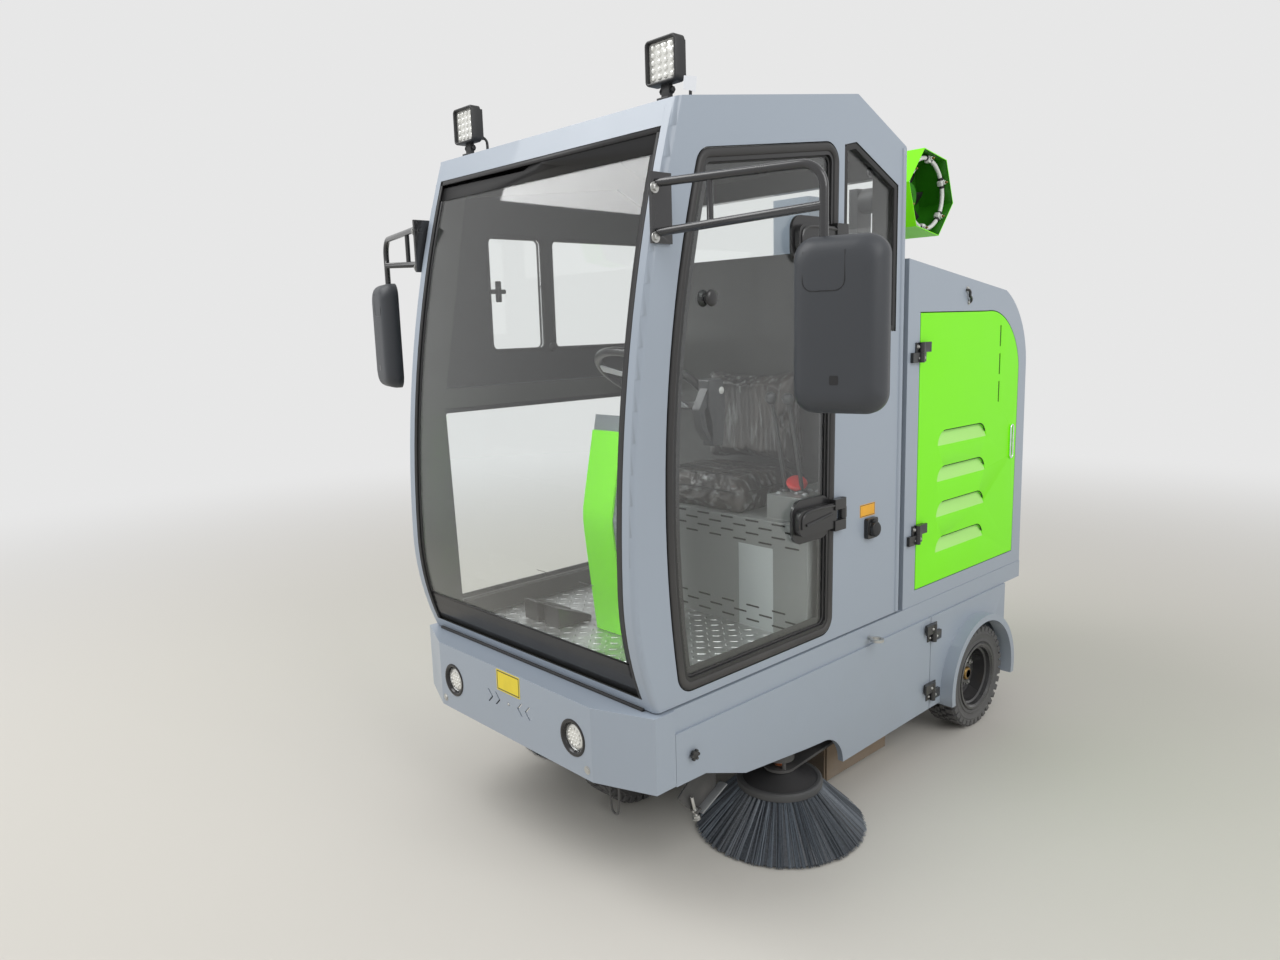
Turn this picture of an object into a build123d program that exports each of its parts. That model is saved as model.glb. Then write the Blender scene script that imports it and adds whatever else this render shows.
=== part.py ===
# Compact ride-on road sweeper with a closed cab, three wheels and two side brushes.
# Millimetres. X runs across the machine (+X is its left side), Y runs from the nose
# (-Y) to the tail, Z is up from the ground. The origin lies on the ground below the
# middle of the machine.
import os
from math import atan2, cos, hypot, radians, sin

from build123d import *

os.makedirs("parts", exist_ok=True)

# Overall sizes
length = 1942
body_width = 1000
sill_top = 520
half_width = body_width / 2
lamp_proud = 2.5
tail_proud = 19
middle_station = (length + tail_proud - lamp_proud) / 2


def at(station):
    """Y of a station measured back from the face of the bumper."""
    return station - middle_station


def up(height):
    """Z of a height measured up from the top of the frame."""
    return sill_top + height


def save(piece, name):
    """Label a finished piece and write it as its own file."""
    piece.part.label = name
    export_step(piece.part, "parts/" + name + ".step")


# Clearances that tie one piece to another
fit_gap = 0.3
panel_gap = 3

# Wheels
tyre_radius = 178
tyre_width = 114
bead_radius = 102
flange_radius = 117
flange_thickness = 4
tyre_shoulder = 14
wheel_proud = 20
front_axle_station = 440
rear_axle_from_tail = 347
rear_axle_station = length - rear_axle_from_tail
rear_wheel_x = half_width + wheel_proud - tyre_width / 2
axle_radius = 25
stub_radius = 15
hub_radius = 38

# Frame
rail_height = 60
rail_width = 40
rail_spacing = 560
beam_width = 30
cross_width = 50
frame_bottom = sill_top - rail_height
skirt_skin = 6
nose_depth = 127
head_half = 110

# Cab
cab_half = half_width - 10
cab_wall = 36
cab_front = 78
cab_length = 1114
floor_plate_thickness = 4
cab_foot = floor_plate_thickness
nose_reach = 61
nose_height = 296
brow_height = 1379
brow_station = 192
peak_height = 1478
peak_station = 877
tail_height = 1373
low_bow = 15
high_bow = 44
glass_thickness = 6
glass_inset = 6
screen_sill = 33
screen_head = 1320

# Rear body
body_half = half_width - 8
body_front = cab_length + 24
body_wall = 30
body_front_height = 1063
body_shoulder_drop = 88
body_tail_radius = 190


def bulge(start, end, rise):
    """Point on the left of a chord's middle, at the given rise."""
    run = end[0] - start[0]
    lift = end[1] - start[1]
    size = hypot(run, lift)
    return (
        (start[0] + end[0]) / 2 - lift / size * rise,
        (start[1] + end[1]) / 2 + run / size * rise,
    )


# The frame is a welded ladder of box tube: sill beams, rails, cross members, the
# steering head and the hangers of the rear axle.
housing_front = 895
housing_rear = 1225
tail_cross_setback = 57
cross_stations = [
    front_axle_station - head_half - cross_width / 2,
    front_axle_station + head_half + cross_width / 2,
    housing_front,
    housing_rear,
    rear_axle_station,
    length - tail_cross_setback,
]
rail_setback = 60
weld_lap = 1
tail_beam_width = 24
head_plate_lap = 30
head_tube_setback = 8
head_plate = 10
head_tube_radius = 42
stem_radius = 25
head_tube_drop = 72
hanger_gap = 16
hanger_thickness = 10
hanger_x = rear_wheel_x - tyre_width / 2 - hanger_gap - hanger_thickness / 2
hanger_length = 110
hanger_bottom = tyre_radius - 36
runner_gap = 15
runner_thickness = 4
runner_x = hanger_x - hanger_thickness / 2 - runner_gap - runner_thickness
runner_lip = 26
runner_top = 223
runner_front = housing_rear + 5
runner_rear = length - 130

with BuildPart() as ladder_frame:
    with BuildSketch(Plane.XY.offset(frame_bottom)):
        for side in (-1, 1):
            with Locations((side * (half_width - skirt_skin - beam_width / 2), at((nose_depth + length) / 2))):
                Rectangle(beam_width, length - nose_depth)
            with Locations((side * rail_spacing / 2, at((nose_depth + length - rail_setback) / 2))):
                Rectangle(rail_width, length - rail_setback - nose_depth)
        for station in cross_stations:
            with Locations((0, at(station))):
                Rectangle(2 * (half_width - skirt_skin - weld_lap), cross_width)
    extrude(amount=rail_height)
    with BuildSketch(Plane.XY.offset(frame_bottom)):
        with Locations((0, at(length - (tail_beam_width + skirt_skin) / 2))):
            Rectangle(2 * (half_width - skirt_skin), tail_beam_width + skirt_skin)
    extrude(amount=rail_height)
    with BuildSketch(Plane.XY.offset(frame_bottom)):
        with Locations((0, at(front_axle_station))):
            Rectangle(2 * (head_tube_radius + head_plate_lap), 2 * head_half)
    extrude(amount=head_plate)
    with BuildSketch(Plane.XY.offset(frame_bottom - head_tube_drop)):
        with Locations((0, at(front_axle_station))):
            Circle(head_tube_radius)
    extrude(amount=head_tube_drop + rail_height - head_tube_setback)
    with BuildSketch(Plane.XY.offset(frame_bottom - head_tube_drop)):
        with Locations((0, at(front_axle_station))):
            Circle(stem_radius + fit_gap)
    extrude(amount=head_tube_drop + rail_height, mode=Mode.SUBTRACT)
    for side in (-1, 1):
        with BuildSketch(Plane.YZ.offset(side * hanger_x - hanger_thickness / 2)):
            with Locations((at(rear_axle_station), (hanger_bottom + frame_bottom) / 2)):
                Rectangle(hanger_length, frame_bottom - hanger_bottom)
            with Locations((at(rear_axle_station), tyre_radius)):
                Circle(axle_radius + fit_gap, mode=Mode.SUBTRACT)
        extrude(amount=hanger_thickness)
        with BuildSketch(Plane.XZ.offset(-at(runner_front))):
            inner = side * runner_x
            outer = side * (runner_x + runner_thickness)
            lip = side * (runner_x - runner_lip)
            with BuildLine():
                Polyline(
                    (inner, frame_bottom),
                    (outer, frame_bottom),
                    (outer, runner_top - runner_thickness),
                    (lip, runner_top - runner_thickness),
                    (lip, runner_top),
                    (inner, runner_top),
                    close=True,
                )
            make_face()
        extrude(amount=-(runner_rear - runner_front))

# The bumper is one folded sheet: a flat face, two mitred corners and a top flange.
nose_skin = 5
nose_drop = 190
face_half = 341
nose_setback = 62
lamp_x = 270
lamp_drop = 98
lamp_radius = 44
mark_drop = 91
mark_size = 9
mark_pitch = 34
mark_places = ((-2.4, 1), (-1.4, 1), (1.4, -1), (2.4, -1))
mark_thickness = 0.7
cut_spare = 3

nose_line = [
    (-half_width, at(nose_depth)),
    (-half_width, at(nose_setback)),
    (-face_half, at(0)),
    (face_half, at(0)),
    (half_width, at(nose_setback)),
    (half_width, at(nose_depth)),
]

with BuildPart() as front_bumper:
    with BuildSketch(Plane.XY.offset(sill_top - nose_drop)):
        with BuildLine():
            Polyline(*nose_line, close=True)
        make_face()
    extrude(amount=nose_drop)
    with BuildSketch(Plane.XY.offset(sill_top - nose_drop)):
        with BuildLine():
            Polyline(*nose_line, close=True)
        make_face()
        offset(amount=-nose_skin, kind=Kind.INTERSECTION, mode=Mode.REPLACE)
        with Locations((0, at(nose_depth))):
            Rectangle(2 * (half_width - nose_skin), 2 * nose_skin)
    extrude(amount=nose_drop - nose_skin, mode=Mode.SUBTRACT)
    with BuildSketch(Plane.XZ.offset(-at(0) + 1)):
        with Locations((-lamp_x, sill_top - lamp_drop), (lamp_x, sill_top - lamp_drop)):
            Circle(lamp_radius)
        for place, turn in mark_places:
            middle = place * mark_pitch
            reach = turn * mark_size
            tail_reach = reach * (1 + mark_thickness)
            with BuildLine():
                Polyline(
                    (middle - reach, sill_top - mark_drop + 2 * mark_size),
                    (middle + reach, sill_top - mark_drop),
                    (middle - reach, sill_top - mark_drop - 2 * mark_size),
                    (middle - tail_reach, sill_top - mark_drop - 2 * mark_size),
                    (middle + reach - reach * mark_thickness, sill_top - mark_drop),
                    (middle - tail_reach, sill_top - mark_drop + 2 * mark_size),
                    close=True,
                )
            make_face()
        with Locations((0, sill_top - mark_drop)):
            Circle(mark_size / 2)
    extrude(amount=-nose_skin - cut_spare, mode=Mode.SUBTRACT)
save(front_bumper, "front_bumper")

# Headlamps: a round housing with a lipped bezel, set into the bumper from the front.
bezel_lip = 4
lamp_depth = 46
lamp_back = 8

with BuildPart() as headlamps:
    for side in (-1, 1):
        with BuildSketch(Plane.XZ.offset(-at(0))):
            with Locations((side * lamp_x, sill_top - lamp_drop)):
                Circle(lamp_radius + bezel_lip)
                Circle(lamp_radius - bezel_lip, mode=Mode.SUBTRACT)
        extrude(amount=lamp_proud)
        with BuildSketch(Plane.XZ.offset(-at(0))):
            with Locations((side * lamp_x, sill_top - lamp_drop)):
                Circle(lamp_radius - fit_gap)
                Circle(lamp_radius - bezel_lip, mode=Mode.SUBTRACT)
        extrude(amount=-lamp_depth + lamp_back)
        with BuildSketch(Plane.XZ.offset(-at(lamp_depth - lamp_back))):
            with Locations((side * lamp_x, sill_top - lamp_drop)):
                Circle(lamp_radius - fit_gap)
        extrude(amount=-lamp_back)

# Floor of the cab: one chequer plate on the frame.
floor_play = 1
with BuildPart() as floor_plate:
    with BuildSketch(Plane.XY.offset(sill_top)):
        with Locations((0, at((nose_depth + cab_length) / 2))):
            Rectangle(2 * (cab_half - cab_wall - floor_play), cab_length - nose_depth - 2 * cab_wall)
    extrude(amount=floor_plate_thickness)
save(floor_plate, "floor_plate")

# Cab outline in the YZ plane: a bowed front, a roof that rises to a peak and drops
# to a vertical back.
foot = (at(cab_front), up(cab_foot))
nose = (at(cab_front - nose_reach), up(nose_height))
brow = (at(brow_station), up(brow_height))
peak = (at(peak_station), up(peak_height))
tail = (at(cab_length), up(tail_height))
heel = (at(cab_length), up(cab_foot))


def cab_face(shrink=0):
    """Face of the cab seen from the side, pulled in all round by shrink."""
    with BuildSketch() as face:
        with BuildLine():
            ThreePointArc(foot, bulge(foot, nose, low_bow), nose)
            ThreePointArc(nose, bulge(nose, brow, high_bow), brow)
            Polyline(brow, peak, tail, heel, foot)
        make_face()
        if shrink:
            offset(amount=-shrink, kind=Kind.INTERSECTION, mode=Mode.REPLACE)
    return face.sketch


# Door outline: a bowed front edge along the pillar, a straight sill and back edge.
door_low_front = (at(155), up(26))
door_bow_point = (at(126), up(590))
door_high_front = (at(253), up(1279))
door_high_back = (at(788), up(1351))
door_low_back = (at(768), up(26))
door_corner = 50


def door_face(shrink=0):
    """Face of the door opening, pulled in all round by shrink."""
    with BuildSketch() as face:
        with BuildLine():
            ThreePointArc(door_low_front, door_bow_point, door_high_front)
            Polyline(door_high_front, door_high_back, door_low_back, door_low_front)
        make_face()
        fillet(face.vertices(), door_corner)
        if shrink:
            offset(amount=-shrink, kind=Kind.INTERSECTION, mode=Mode.REPLACE)
    return face.sketch


def polygon_face(points, shrink=0):
    """Face of a polygon, pulled in all round by shrink."""
    with BuildSketch() as face:
        with BuildLine():
            Polyline(*points, close=True)
        make_face()
        if shrink:
            offset(amount=-shrink, kind=Kind.INTERSECTION, mode=Mode.REPLACE)
    return face.sketch


quarter_points = [
    (at(808), up(856)),
    (at(812), up(1344)),
    (at(866), up(1356)),
    (at(1074), up(1262)),
    (at(1074), up(856)),
]


# The pressed pillars turn round in section, the roof and back keep a small bend.
pillar_round = 14
roof_round = 5


def soften_outline(outer):
    """Round the outer edges of a cab side, given the face they bound."""
    rim_edges = outer.outer_wire().edges()
    fillet(rim_edges.filter_by(GeomType.CIRCLE), pillar_round)
    roof_edges = rim_edges.filter_by(GeomType.LINE).filter_by(lambda edge: edge.center().Z > up(brow_height))
    fillet(roof_edges, roof_round)


with BuildPart() as cab_side_left:
    with BuildSketch(Plane.YZ.offset(cab_half - cab_wall)):
        add(cab_face())
    extrude(amount=cab_wall)
    with BuildSketch(Plane.YZ.offset(cab_half - cab_wall)):
        add(door_face())
        add(polygon_face(quarter_points))
    extrude(amount=cab_wall, mode=Mode.SUBTRACT)
    soften_outline(cab_side_left.faces().sort_by(Axis.X)[-1])
save(cab_side_left, "cab_side_left")

# The right side has no door: a low pane, a rail and a framed pair of windows.
rail_low = 664
rail_high = 724
pane_front = 150
pane_back = 1040
low_pane_bottom = 60
right_low_points = [
    (at(pane_front + 10), up(low_pane_bottom)),
    (at(pane_front - 8), up(rail_low)),
    (at(pane_back), up(rail_low)),
    (at(pane_back), up(low_pane_bottom)),
]
right_high_points = [
    (at(pane_front), up(rail_high)),
    (at(pane_front + 105), up(1279)),
    (at(866), up(1350)),
    (at(pane_back), up(1270)),
    (at(pane_back), up(rail_high)),
]


with BuildPart() as cab_side_right:
    with BuildSketch(Plane.YZ.offset(-cab_half)):
        add(cab_face())
    extrude(amount=cab_wall)
    with BuildSketch(Plane.YZ.offset(-cab_half)):
        add(polygon_face(right_low_points))
        add(polygon_face(right_high_points))
    extrude(amount=cab_wall, mode=Mode.SUBTRACT)
    soften_outline(cab_side_right.faces().sort_by(Axis.X)[0])
save(cab_side_right, "cab_side_right")

# Roof, back wall and front rail run between the two sides and share one section.
inner_half = cab_half - cab_wall
rear_glass_low = body_front_height + 40
rear_glass_high = screen_head - 30
rear_glass_half = 400
rear_glass_level = (rear_glass_low + rear_glass_high) / 2
rear_glass_height = rear_glass_high - rear_glass_low


def cab_band(outer, inner):
    """Band of the cab's section between two insets from its outline."""
    with BuildSketch() as band:
        add(cab_face(outer))
        add(cab_face(inner), mode=Mode.SUBTRACT)
    return band.sketch


with BuildPart() as cab_roof:
    with BuildSketch(Plane.YZ.offset(-inner_half)):
        add(cab_band(0, cab_wall))
        with Locations((0, up(0))):
            Rectangle(2 * length, 2 * screen_head, mode=Mode.SUBTRACT)
    extrude(amount=2 * inner_half)
    with BuildSketch(Plane.YZ.offset(-inner_half)):
        add(cab_band(0, cab_wall))
        with Locations((0, up(screen_sill + length))):
            Rectangle(2 * length, 2 * length, mode=Mode.SUBTRACT)
        with Locations((at(cab_length), up(0))):
            Rectangle(2 * (cab_length - cab_front - cab_wall), 3 * cab_wall, mode=Mode.SUBTRACT)
    extrude(amount=2 * inner_half)
save(cab_roof, "cab_roof")

with BuildPart() as cab_rear_wall:
    with BuildSketch(Plane.YZ.offset(-inner_half)):
        with Locations((at(cab_length - cab_wall / 2), up((screen_head + cab_foot) / 2))):
            Rectangle(cab_wall, screen_head - cab_foot)
    extrude(amount=2 * inner_half)
    with BuildSketch(Plane.XZ.offset(-at(cab_length - 2 * cab_wall))):
        with Locations((0, up(rear_glass_level))):
            Rectangle(2 * rear_glass_half, rear_glass_height)
    extrude(amount=-3 * cab_wall, mode=Mode.SUBTRACT)
save(cab_rear_wall, "cab_rear_wall")

with BuildPart() as windshield:
    with BuildSketch(Plane.YZ.offset(-inner_half + fit_gap)):
        add(cab_band(glass_inset, glass_inset + glass_thickness))
        with Locations((0, up(screen_sill - length))):
            Rectangle(2 * length, 2 * length, mode=Mode.SUBTRACT)
        with Locations((0, up(screen_head + length))):
            Rectangle(2 * length, 2 * length, mode=Mode.SUBTRACT)
        with Locations((at(cab_length), up(0))):
            Rectangle(2 * (cab_length - brow_station - cab_wall), 4 * length, mode=Mode.SUBTRACT)
    extrude(amount=2 * (inner_half - fit_gap))
save(windshield, "windshield")

slider_frame = 14
slider_low = 831
slider_high = 1170
slider_windows = [(335, 530), (580, 1000)]
slider_corner = 18
with BuildPart() as side_windows:
    with BuildSketch(Plane.YZ.offset(cab_half - cab_wall / 2)):
        add(polygon_face(quarter_points, fit_gap))
    extrude(amount=glass_thickness)
    with BuildSketch(Plane.YZ.offset(-cab_half + cab_wall / 2 - glass_thickness)):
        add(polygon_face(right_low_points, fit_gap))
    extrude(amount=glass_thickness)
    with BuildSketch(Plane.XZ.offset(-at(cab_length - cab_wall / 2 - glass_thickness / 2))):
        with Locations((0, up(rear_glass_level))):
            Rectangle(2 * (rear_glass_half - fit_gap), rear_glass_height - 2 * fit_gap)
    extrude(amount=-glass_thickness)
    with BuildSketch(Plane.YZ.offset(-cab_half + cab_wall / 2 - glass_thickness / 2)):
        for low, high in slider_windows:
            with Locations((at((low + high) / 2), up((slider_low + slider_high) / 2))):
                RectangleRounded(high - low - 2 * fit_gap, slider_high - slider_low - 2 * fit_gap, slider_corner - 1)
    extrude(amount=glass_thickness)
save(side_windows, "side_windows")

# Black panel above the rail of the right side, cut for a pair of windows.

with BuildPart() as slider_panel:
    with BuildSketch(Plane.YZ.offset(-cab_half + cab_wall / 2 - slider_frame / 2)):
        add(polygon_face(right_high_points, fit_gap))
        for low, high in slider_windows:
            with Locations((at((low + high) / 2), up((slider_low + slider_high) / 2))):
                RectangleRounded(high - low, slider_high - slider_low, slider_corner, mode=Mode.SUBTRACT)
    extrude(amount=slider_frame)
save(slider_panel, "slider_panel")


# Left door: a black frame with one pane. Two cast arms on tabs of the frame hang it on
# the rear pillar: each arm ends in a fork that holds the knuckle on the pillar.
door_frame_width = 30
door_thickness = 24
door_frame_face = cab_half - door_thickness
door_pane_face = cab_half - door_thickness / 2 + glass_thickness / 2
door_knuckle_radius = 10
door_pin_radius = 5
door_hinge_station = 798
door_hinge_x = cab_half + door_knuckle_radius + 2
door_hinge_heights = (366, 1096)
door_tab_front = 588
door_tab_back = 752
door_tab_height = 118
door_tab_corner = 36
door_arm_front = 594
door_arm_back = 762
door_arm_height = 70
door_arm_corner = 22
door_arm_proud = 18
fork_front = 750
fork_high = 44
fork_low = 15
fixed_leaf_length = 20
hinge_pin_radius = 5
hinge_knuckle_radius = 9
hinge_height = 60

with BuildPart() as cab_door_frame:
    with BuildSketch(Plane.YZ.offset(door_frame_face)):
        add(door_face(panel_gap))
        add(door_face(panel_gap + door_frame_width), mode=Mode.SUBTRACT)
    extrude(amount=door_thickness)
    with BuildSketch(Plane.YZ.offset(door_pane_face + fit_gap)):
        for height in door_hinge_heights:
            with Locations((at((door_tab_front + door_tab_back) / 2), up(height))):
                RectangleRounded(door_tab_back - door_tab_front, door_tab_height, door_tab_corner)
    extrude(amount=cab_half - door_pane_face - fit_gap)
    with BuildSketch(Plane.YZ.offset(cab_half - 1)):
        for height in door_hinge_heights:
            with Locations((at((door_arm_front + door_arm_back) / 2), up(height))):
                RectangleRounded(door_arm_back - door_arm_front, door_arm_height, door_arm_corner)
    extrude(amount=door_arm_proud + 1)
    for height in door_hinge_heights:
        for prong in (height + fork_low, height - fork_high):
            with BuildSketch(Plane.XY.offset(up(prong))):
                with Locations((door_hinge_x, at(door_hinge_station))):
                    Circle(door_knuckle_radius)
                with Locations((door_hinge_x, at((fork_front + door_hinge_station) / 2))):
                    Rectangle(2 * door_knuckle_radius, door_hinge_station - fork_front)
                with Locations((door_hinge_x, at(door_hinge_station))):
                    Circle(door_pin_radius + fit_gap, mode=Mode.SUBTRACT)
            extrude(amount=fork_high - fork_low)
save(cab_door_frame, "cab_door_frame")

with BuildPart() as cab_door_glass:
    with BuildSketch(Plane.YZ.offset(cab_half - door_thickness / 2 - glass_thickness / 2)):
        add(door_face(panel_gap + door_frame_width + fit_gap))
    extrude(amount=glass_thickness)
save(cab_door_glass, "cab_door_glass")

# Lock and knob of the door near its front edge, clamped through the pane.
knob_station = 284
knob_height = 951
knob_radius = 20
knob_length = 18
lock_station = 301
lock_height = 684
lock_size = (90, 160, 34)
lock_corner = 8
with BuildPart() as cab_door_handle:
    with BuildSketch(Plane.YZ.offset(door_pane_face + fit_gap)):
        with Locations((at(knob_station), up(knob_height))):
            Circle(knob_radius)
    extrude(amount=knob_length)
    with BuildSketch(Plane.YZ.offset(door_pane_face - glass_thickness - fit_gap)):
        with Locations((at(knob_station), up(knob_height))):
            Circle(knob_radius)
    extrude(amount=-knob_length)
    with BuildSketch(Plane.YZ.offset(door_pane_face - glass_thickness - fit_gap)):
        with Locations((at(lock_station), up(lock_height))):
            RectangleRounded(lock_size[0], lock_size[1], lock_corner)
    extrude(amount=-lock_size[2])
save(cab_door_handle, "cab_door_handle")

# Mirrors: a forked tube arm on each front pillar, a shell and its glass.
arm_tube = 9
arm_high = 1190
arm_low = 1088
arm_station = 112
arm_bend_x = half_width + 362
arm_bend_station = 200
head_station = 220
mirror_top = 1052
mirror_height = 340
mirror_half_width = 93
mirror_depth = 66
mirror_toe = 16
mirror_corner = 42
mirror_back_corner = 30
back_height_share = 0.8
back_width_share = 1.4
back_share = 0.55
shell_share = 0.3
glass_recess = 5
glass_border = 8
mirror_glass_thickness = 3
arm_bend_radius = 48
arm_end_lap = 30
low_join_rise = 22
strut_reach = 130
strut_setback = 32
strut_radius = 7
plate_thickness = 8
plate_front = 16
plate_back = 44
plate_margin = 23

with BuildPart() as mirrors:
    for side in (-1, 1):
        root_x = cab_half + plate_thickness
        high_root = (side * root_x, at(arm_station), up(arm_high))
        high_bend = (side * arm_bend_x, at(arm_bend_station), up(arm_high))
        low_end = (side * arm_bend_x, at(arm_bend_station), up(mirror_top - arm_end_lap))
        with BuildLine() as high_path:
            FilletPolyline(high_root, high_bend, low_end, radius=arm_bend_radius)
        start = Plane(high_path.line @ 0, z_dir=high_path.line % 0)
        with BuildSketch(start):
            Circle(arm_tube)
        sweep(path=high_path.line)
        low_root = Vector(side * root_x, at(arm_station), up(arm_low))
        low_join = Vector(side * (arm_bend_x - arm_tube / 2), at(arm_bend_station), up(arm_low + low_join_rise))
        low_run = low_join - low_root
        with BuildSketch(Plane(low_root, z_dir=low_run)):
            Circle(arm_tube)
        extrude(amount=low_run.length)
        with BuildSketch(Plane.XY.offset(up(arm_low + arm_tube / 2))):
            with Locations((side * (cab_half + strut_reach), at(arm_station + strut_setback))):
                Circle(strut_radius)
        extrude(amount=arm_high - arm_low - arm_tube / 2)
        with BuildSketch(Plane.YZ.offset(side * (cab_half + plate_thickness / 2) - plate_thickness / 2)):
            with Locations((at(arm_station + (plate_back - plate_front) / 2), up((arm_high + arm_low) / 2))):
                Rectangle(plate_front + plate_back, arm_high - arm_low + 2 * plate_margin)
        extrude(amount=plate_thickness)
    for side in (-1, 1):
        middle = Vector(side * (arm_bend_x + 30), at(head_station), up(mirror_top - mirror_height / 2))
        facing = Vector(-side * sin(radians(mirror_toe)), cos(radians(mirror_toe)), 0)
        base = Plane(middle - facing * (mirror_depth * 0.75), x_dir=(0, 0, 1), z_dir=facing)
        with BuildSketch(base):
            RectangleRounded(
                mirror_height * back_height_share, mirror_half_width * back_width_share, mirror_back_corner
            )
        with BuildSketch(base.offset(mirror_depth * back_share)):
            RectangleRounded(mirror_height, mirror_half_width * 2, mirror_corner)
        loft()
        with BuildSketch(base.offset(mirror_depth * back_share)):
            RectangleRounded(mirror_height, mirror_half_width * 2, mirror_corner)
        extrude(amount=mirror_depth * shell_share)
        with BuildSketch(base.offset(mirror_depth * (back_share + shell_share) - glass_recess)):
            RectangleRounded(
                mirror_height - 2 * glass_border,
                2 * (mirror_half_width - glass_border),
                mirror_corner - glass_border,
            )
        extrude(amount=glass_recess, mode=Mode.SUBTRACT)
save(mirrors, "mirrors")

with BuildPart() as mirror_glasses:
    for side in (-1, 1):
        middle = Vector(side * (arm_bend_x + 30), at(head_station), up(mirror_top - mirror_height / 2))
        facing = Vector(-side * sin(radians(mirror_toe)), cos(radians(mirror_toe)), 0)
        base = Plane(middle - facing * (mirror_depth * 0.75), x_dir=(0, 0, 1), z_dir=facing)
        with BuildSketch(base.offset(mirror_depth * (back_share + shell_share) - glass_recess)):
            RectangleRounded(
                mirror_height - 2 * (glass_border + fit_gap),
                2 * (mirror_half_width - glass_border - fit_gap),
                mirror_corner - glass_border - fit_gap,
            )
        extrude(amount=mirror_glass_thickness)
save(mirror_glasses, "mirror_glasses")

# Work lamps on the front corners of the roof: a square box in a U bracket.
work_lamp_x = 403
work_lamp_station = 246
work_lamp_base = 1424
work_lamp_size = 98
work_lamp_depth = 46
work_lamp_corner = 12
lamp_foot = 6
lamp_foot_size = (44, 40)
lamp_stem = 34
lamp_stem_size = (26, 22)
stem_lap = 2
roof_slope = atan2(peak_height - brow_height, peak_station - brow_station)
roof_plane = Plane((0, brow[0], brow[1]), x_dir=(1, 0, 0), z_dir=(0, -sin(roof_slope), cos(roof_slope)))
work_lamp_run = (work_lamp_station - brow_station) / cos(roof_slope) + lamp_stem * sin(roof_slope)
with BuildPart() as work_lamps:
    for side in (-1, 1):
        with BuildSketch(Plane.XZ.offset(-at(work_lamp_station - work_lamp_depth / 2))):
            with Locations((side * work_lamp_x, up(work_lamp_base + work_lamp_size / 2))):
                RectangleRounded(work_lamp_size, work_lamp_size, work_lamp_corner)
        extrude(amount=-work_lamp_depth)
        with BuildSketch(Plane.XY.offset(up(work_lamp_base - lamp_stem))):
            with Locations((side * work_lamp_x, at(work_lamp_station))):
                Rectangle(*lamp_stem_size)
        extrude(amount=lamp_stem + stem_lap)
    with BuildSketch(roof_plane.offset(fit_gap)):
        with Locations((-work_lamp_x, work_lamp_run), (work_lamp_x, work_lamp_run)):
            Rectangle(*lamp_foot_size)
    extrude(amount=lamp_foot)

# Steering console: a bent sheet box on the floor with a sloping green front.
floor_top = sill_top + floor_plate_thickness
console_half = 80
console_front = 392
console_back = 560
console_knee = 350
console_height = 640
console_tilt = 60
console_lean = 40
console_heel = 30
console_drop = 50
column_radius = 20
stalk_size = (120, 12, 12)
stalk_reach = 75

# Steering wheel on its column, tipped towards the driver.
wheel_tilt = 32
wheel_rim_radius = 165
wheel_rim_tube = 13
wheel_lift = 92
wheel_centre = (0, at(console_back), floor_top + console_height + wheel_lift)
wheel_plane = Plane(wheel_centre, x_dir=(1, 0, 0), z_dir=(0, sin(radians(wheel_tilt)), cos(radians(wheel_tilt))))
column_length = 130
wheel_hub_radius = 34
wheel_hub_depth = 26
wheel_hub_drop = 22
spoke_width = 26
spoke_thickness = 6
spoke_drop = 8
spoke_lap = 10
with BuildPart() as steering_wheel:
    with BuildSketch(Plane(wheel_centre, x_dir=wheel_plane.x_dir, z_dir=wheel_plane.y_dir)):
        with Locations((wheel_rim_radius, 0)):
            Circle(wheel_rim_tube)
    revolve(axis=Axis(wheel_centre, wheel_plane.z_dir))
    with BuildSketch(wheel_plane.offset(-wheel_hub_drop)):
        Circle(wheel_hub_radius)
    extrude(amount=wheel_hub_depth)
    with BuildSketch(wheel_plane.offset(-spoke_drop)):
        for turn in (90, 210, 330):
            with Locations(Location((0, 0), turn)):
                with Locations((wheel_rim_radius / 2 + spoke_lap, 0)):
                    Rectangle(wheel_rim_radius - 3 * spoke_lap, spoke_width)
    extrude(amount=spoke_thickness)
save(steering_wheel, "steering_wheel")

with BuildPart() as steering_console:
    with BuildSketch(Plane.YZ.offset(-console_half)):
        with BuildLine():
            Polyline(
                (at(console_front), floor_top),
                (at(console_front - console_lean), floor_top + console_knee),
                (at(console_front - console_lean + console_tilt), floor_top + console_height),
                (at(console_back), floor_top + console_height - console_drop),
                (at(console_back - console_heel), floor_top + console_knee),
                (at(console_back - console_heel), floor_top),
                close=True,
            )
        make_face()
    extrude(amount=2 * console_half)
    with BuildSketch(wheel_plane.offset(-wheel_hub_drop - fit_gap)):
        Circle(column_radius)
    extrude(amount=-column_length)
    with BuildSketch(wheel_plane.offset(-wheel_hub_drop - stalk_size[2])):
        with Locations((stalk_reach, 0)):
            Rectangle(stalk_size[0], stalk_size[1])
    extrude(amount=-stalk_size[2])
save(steering_console, "steering_console")

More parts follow.
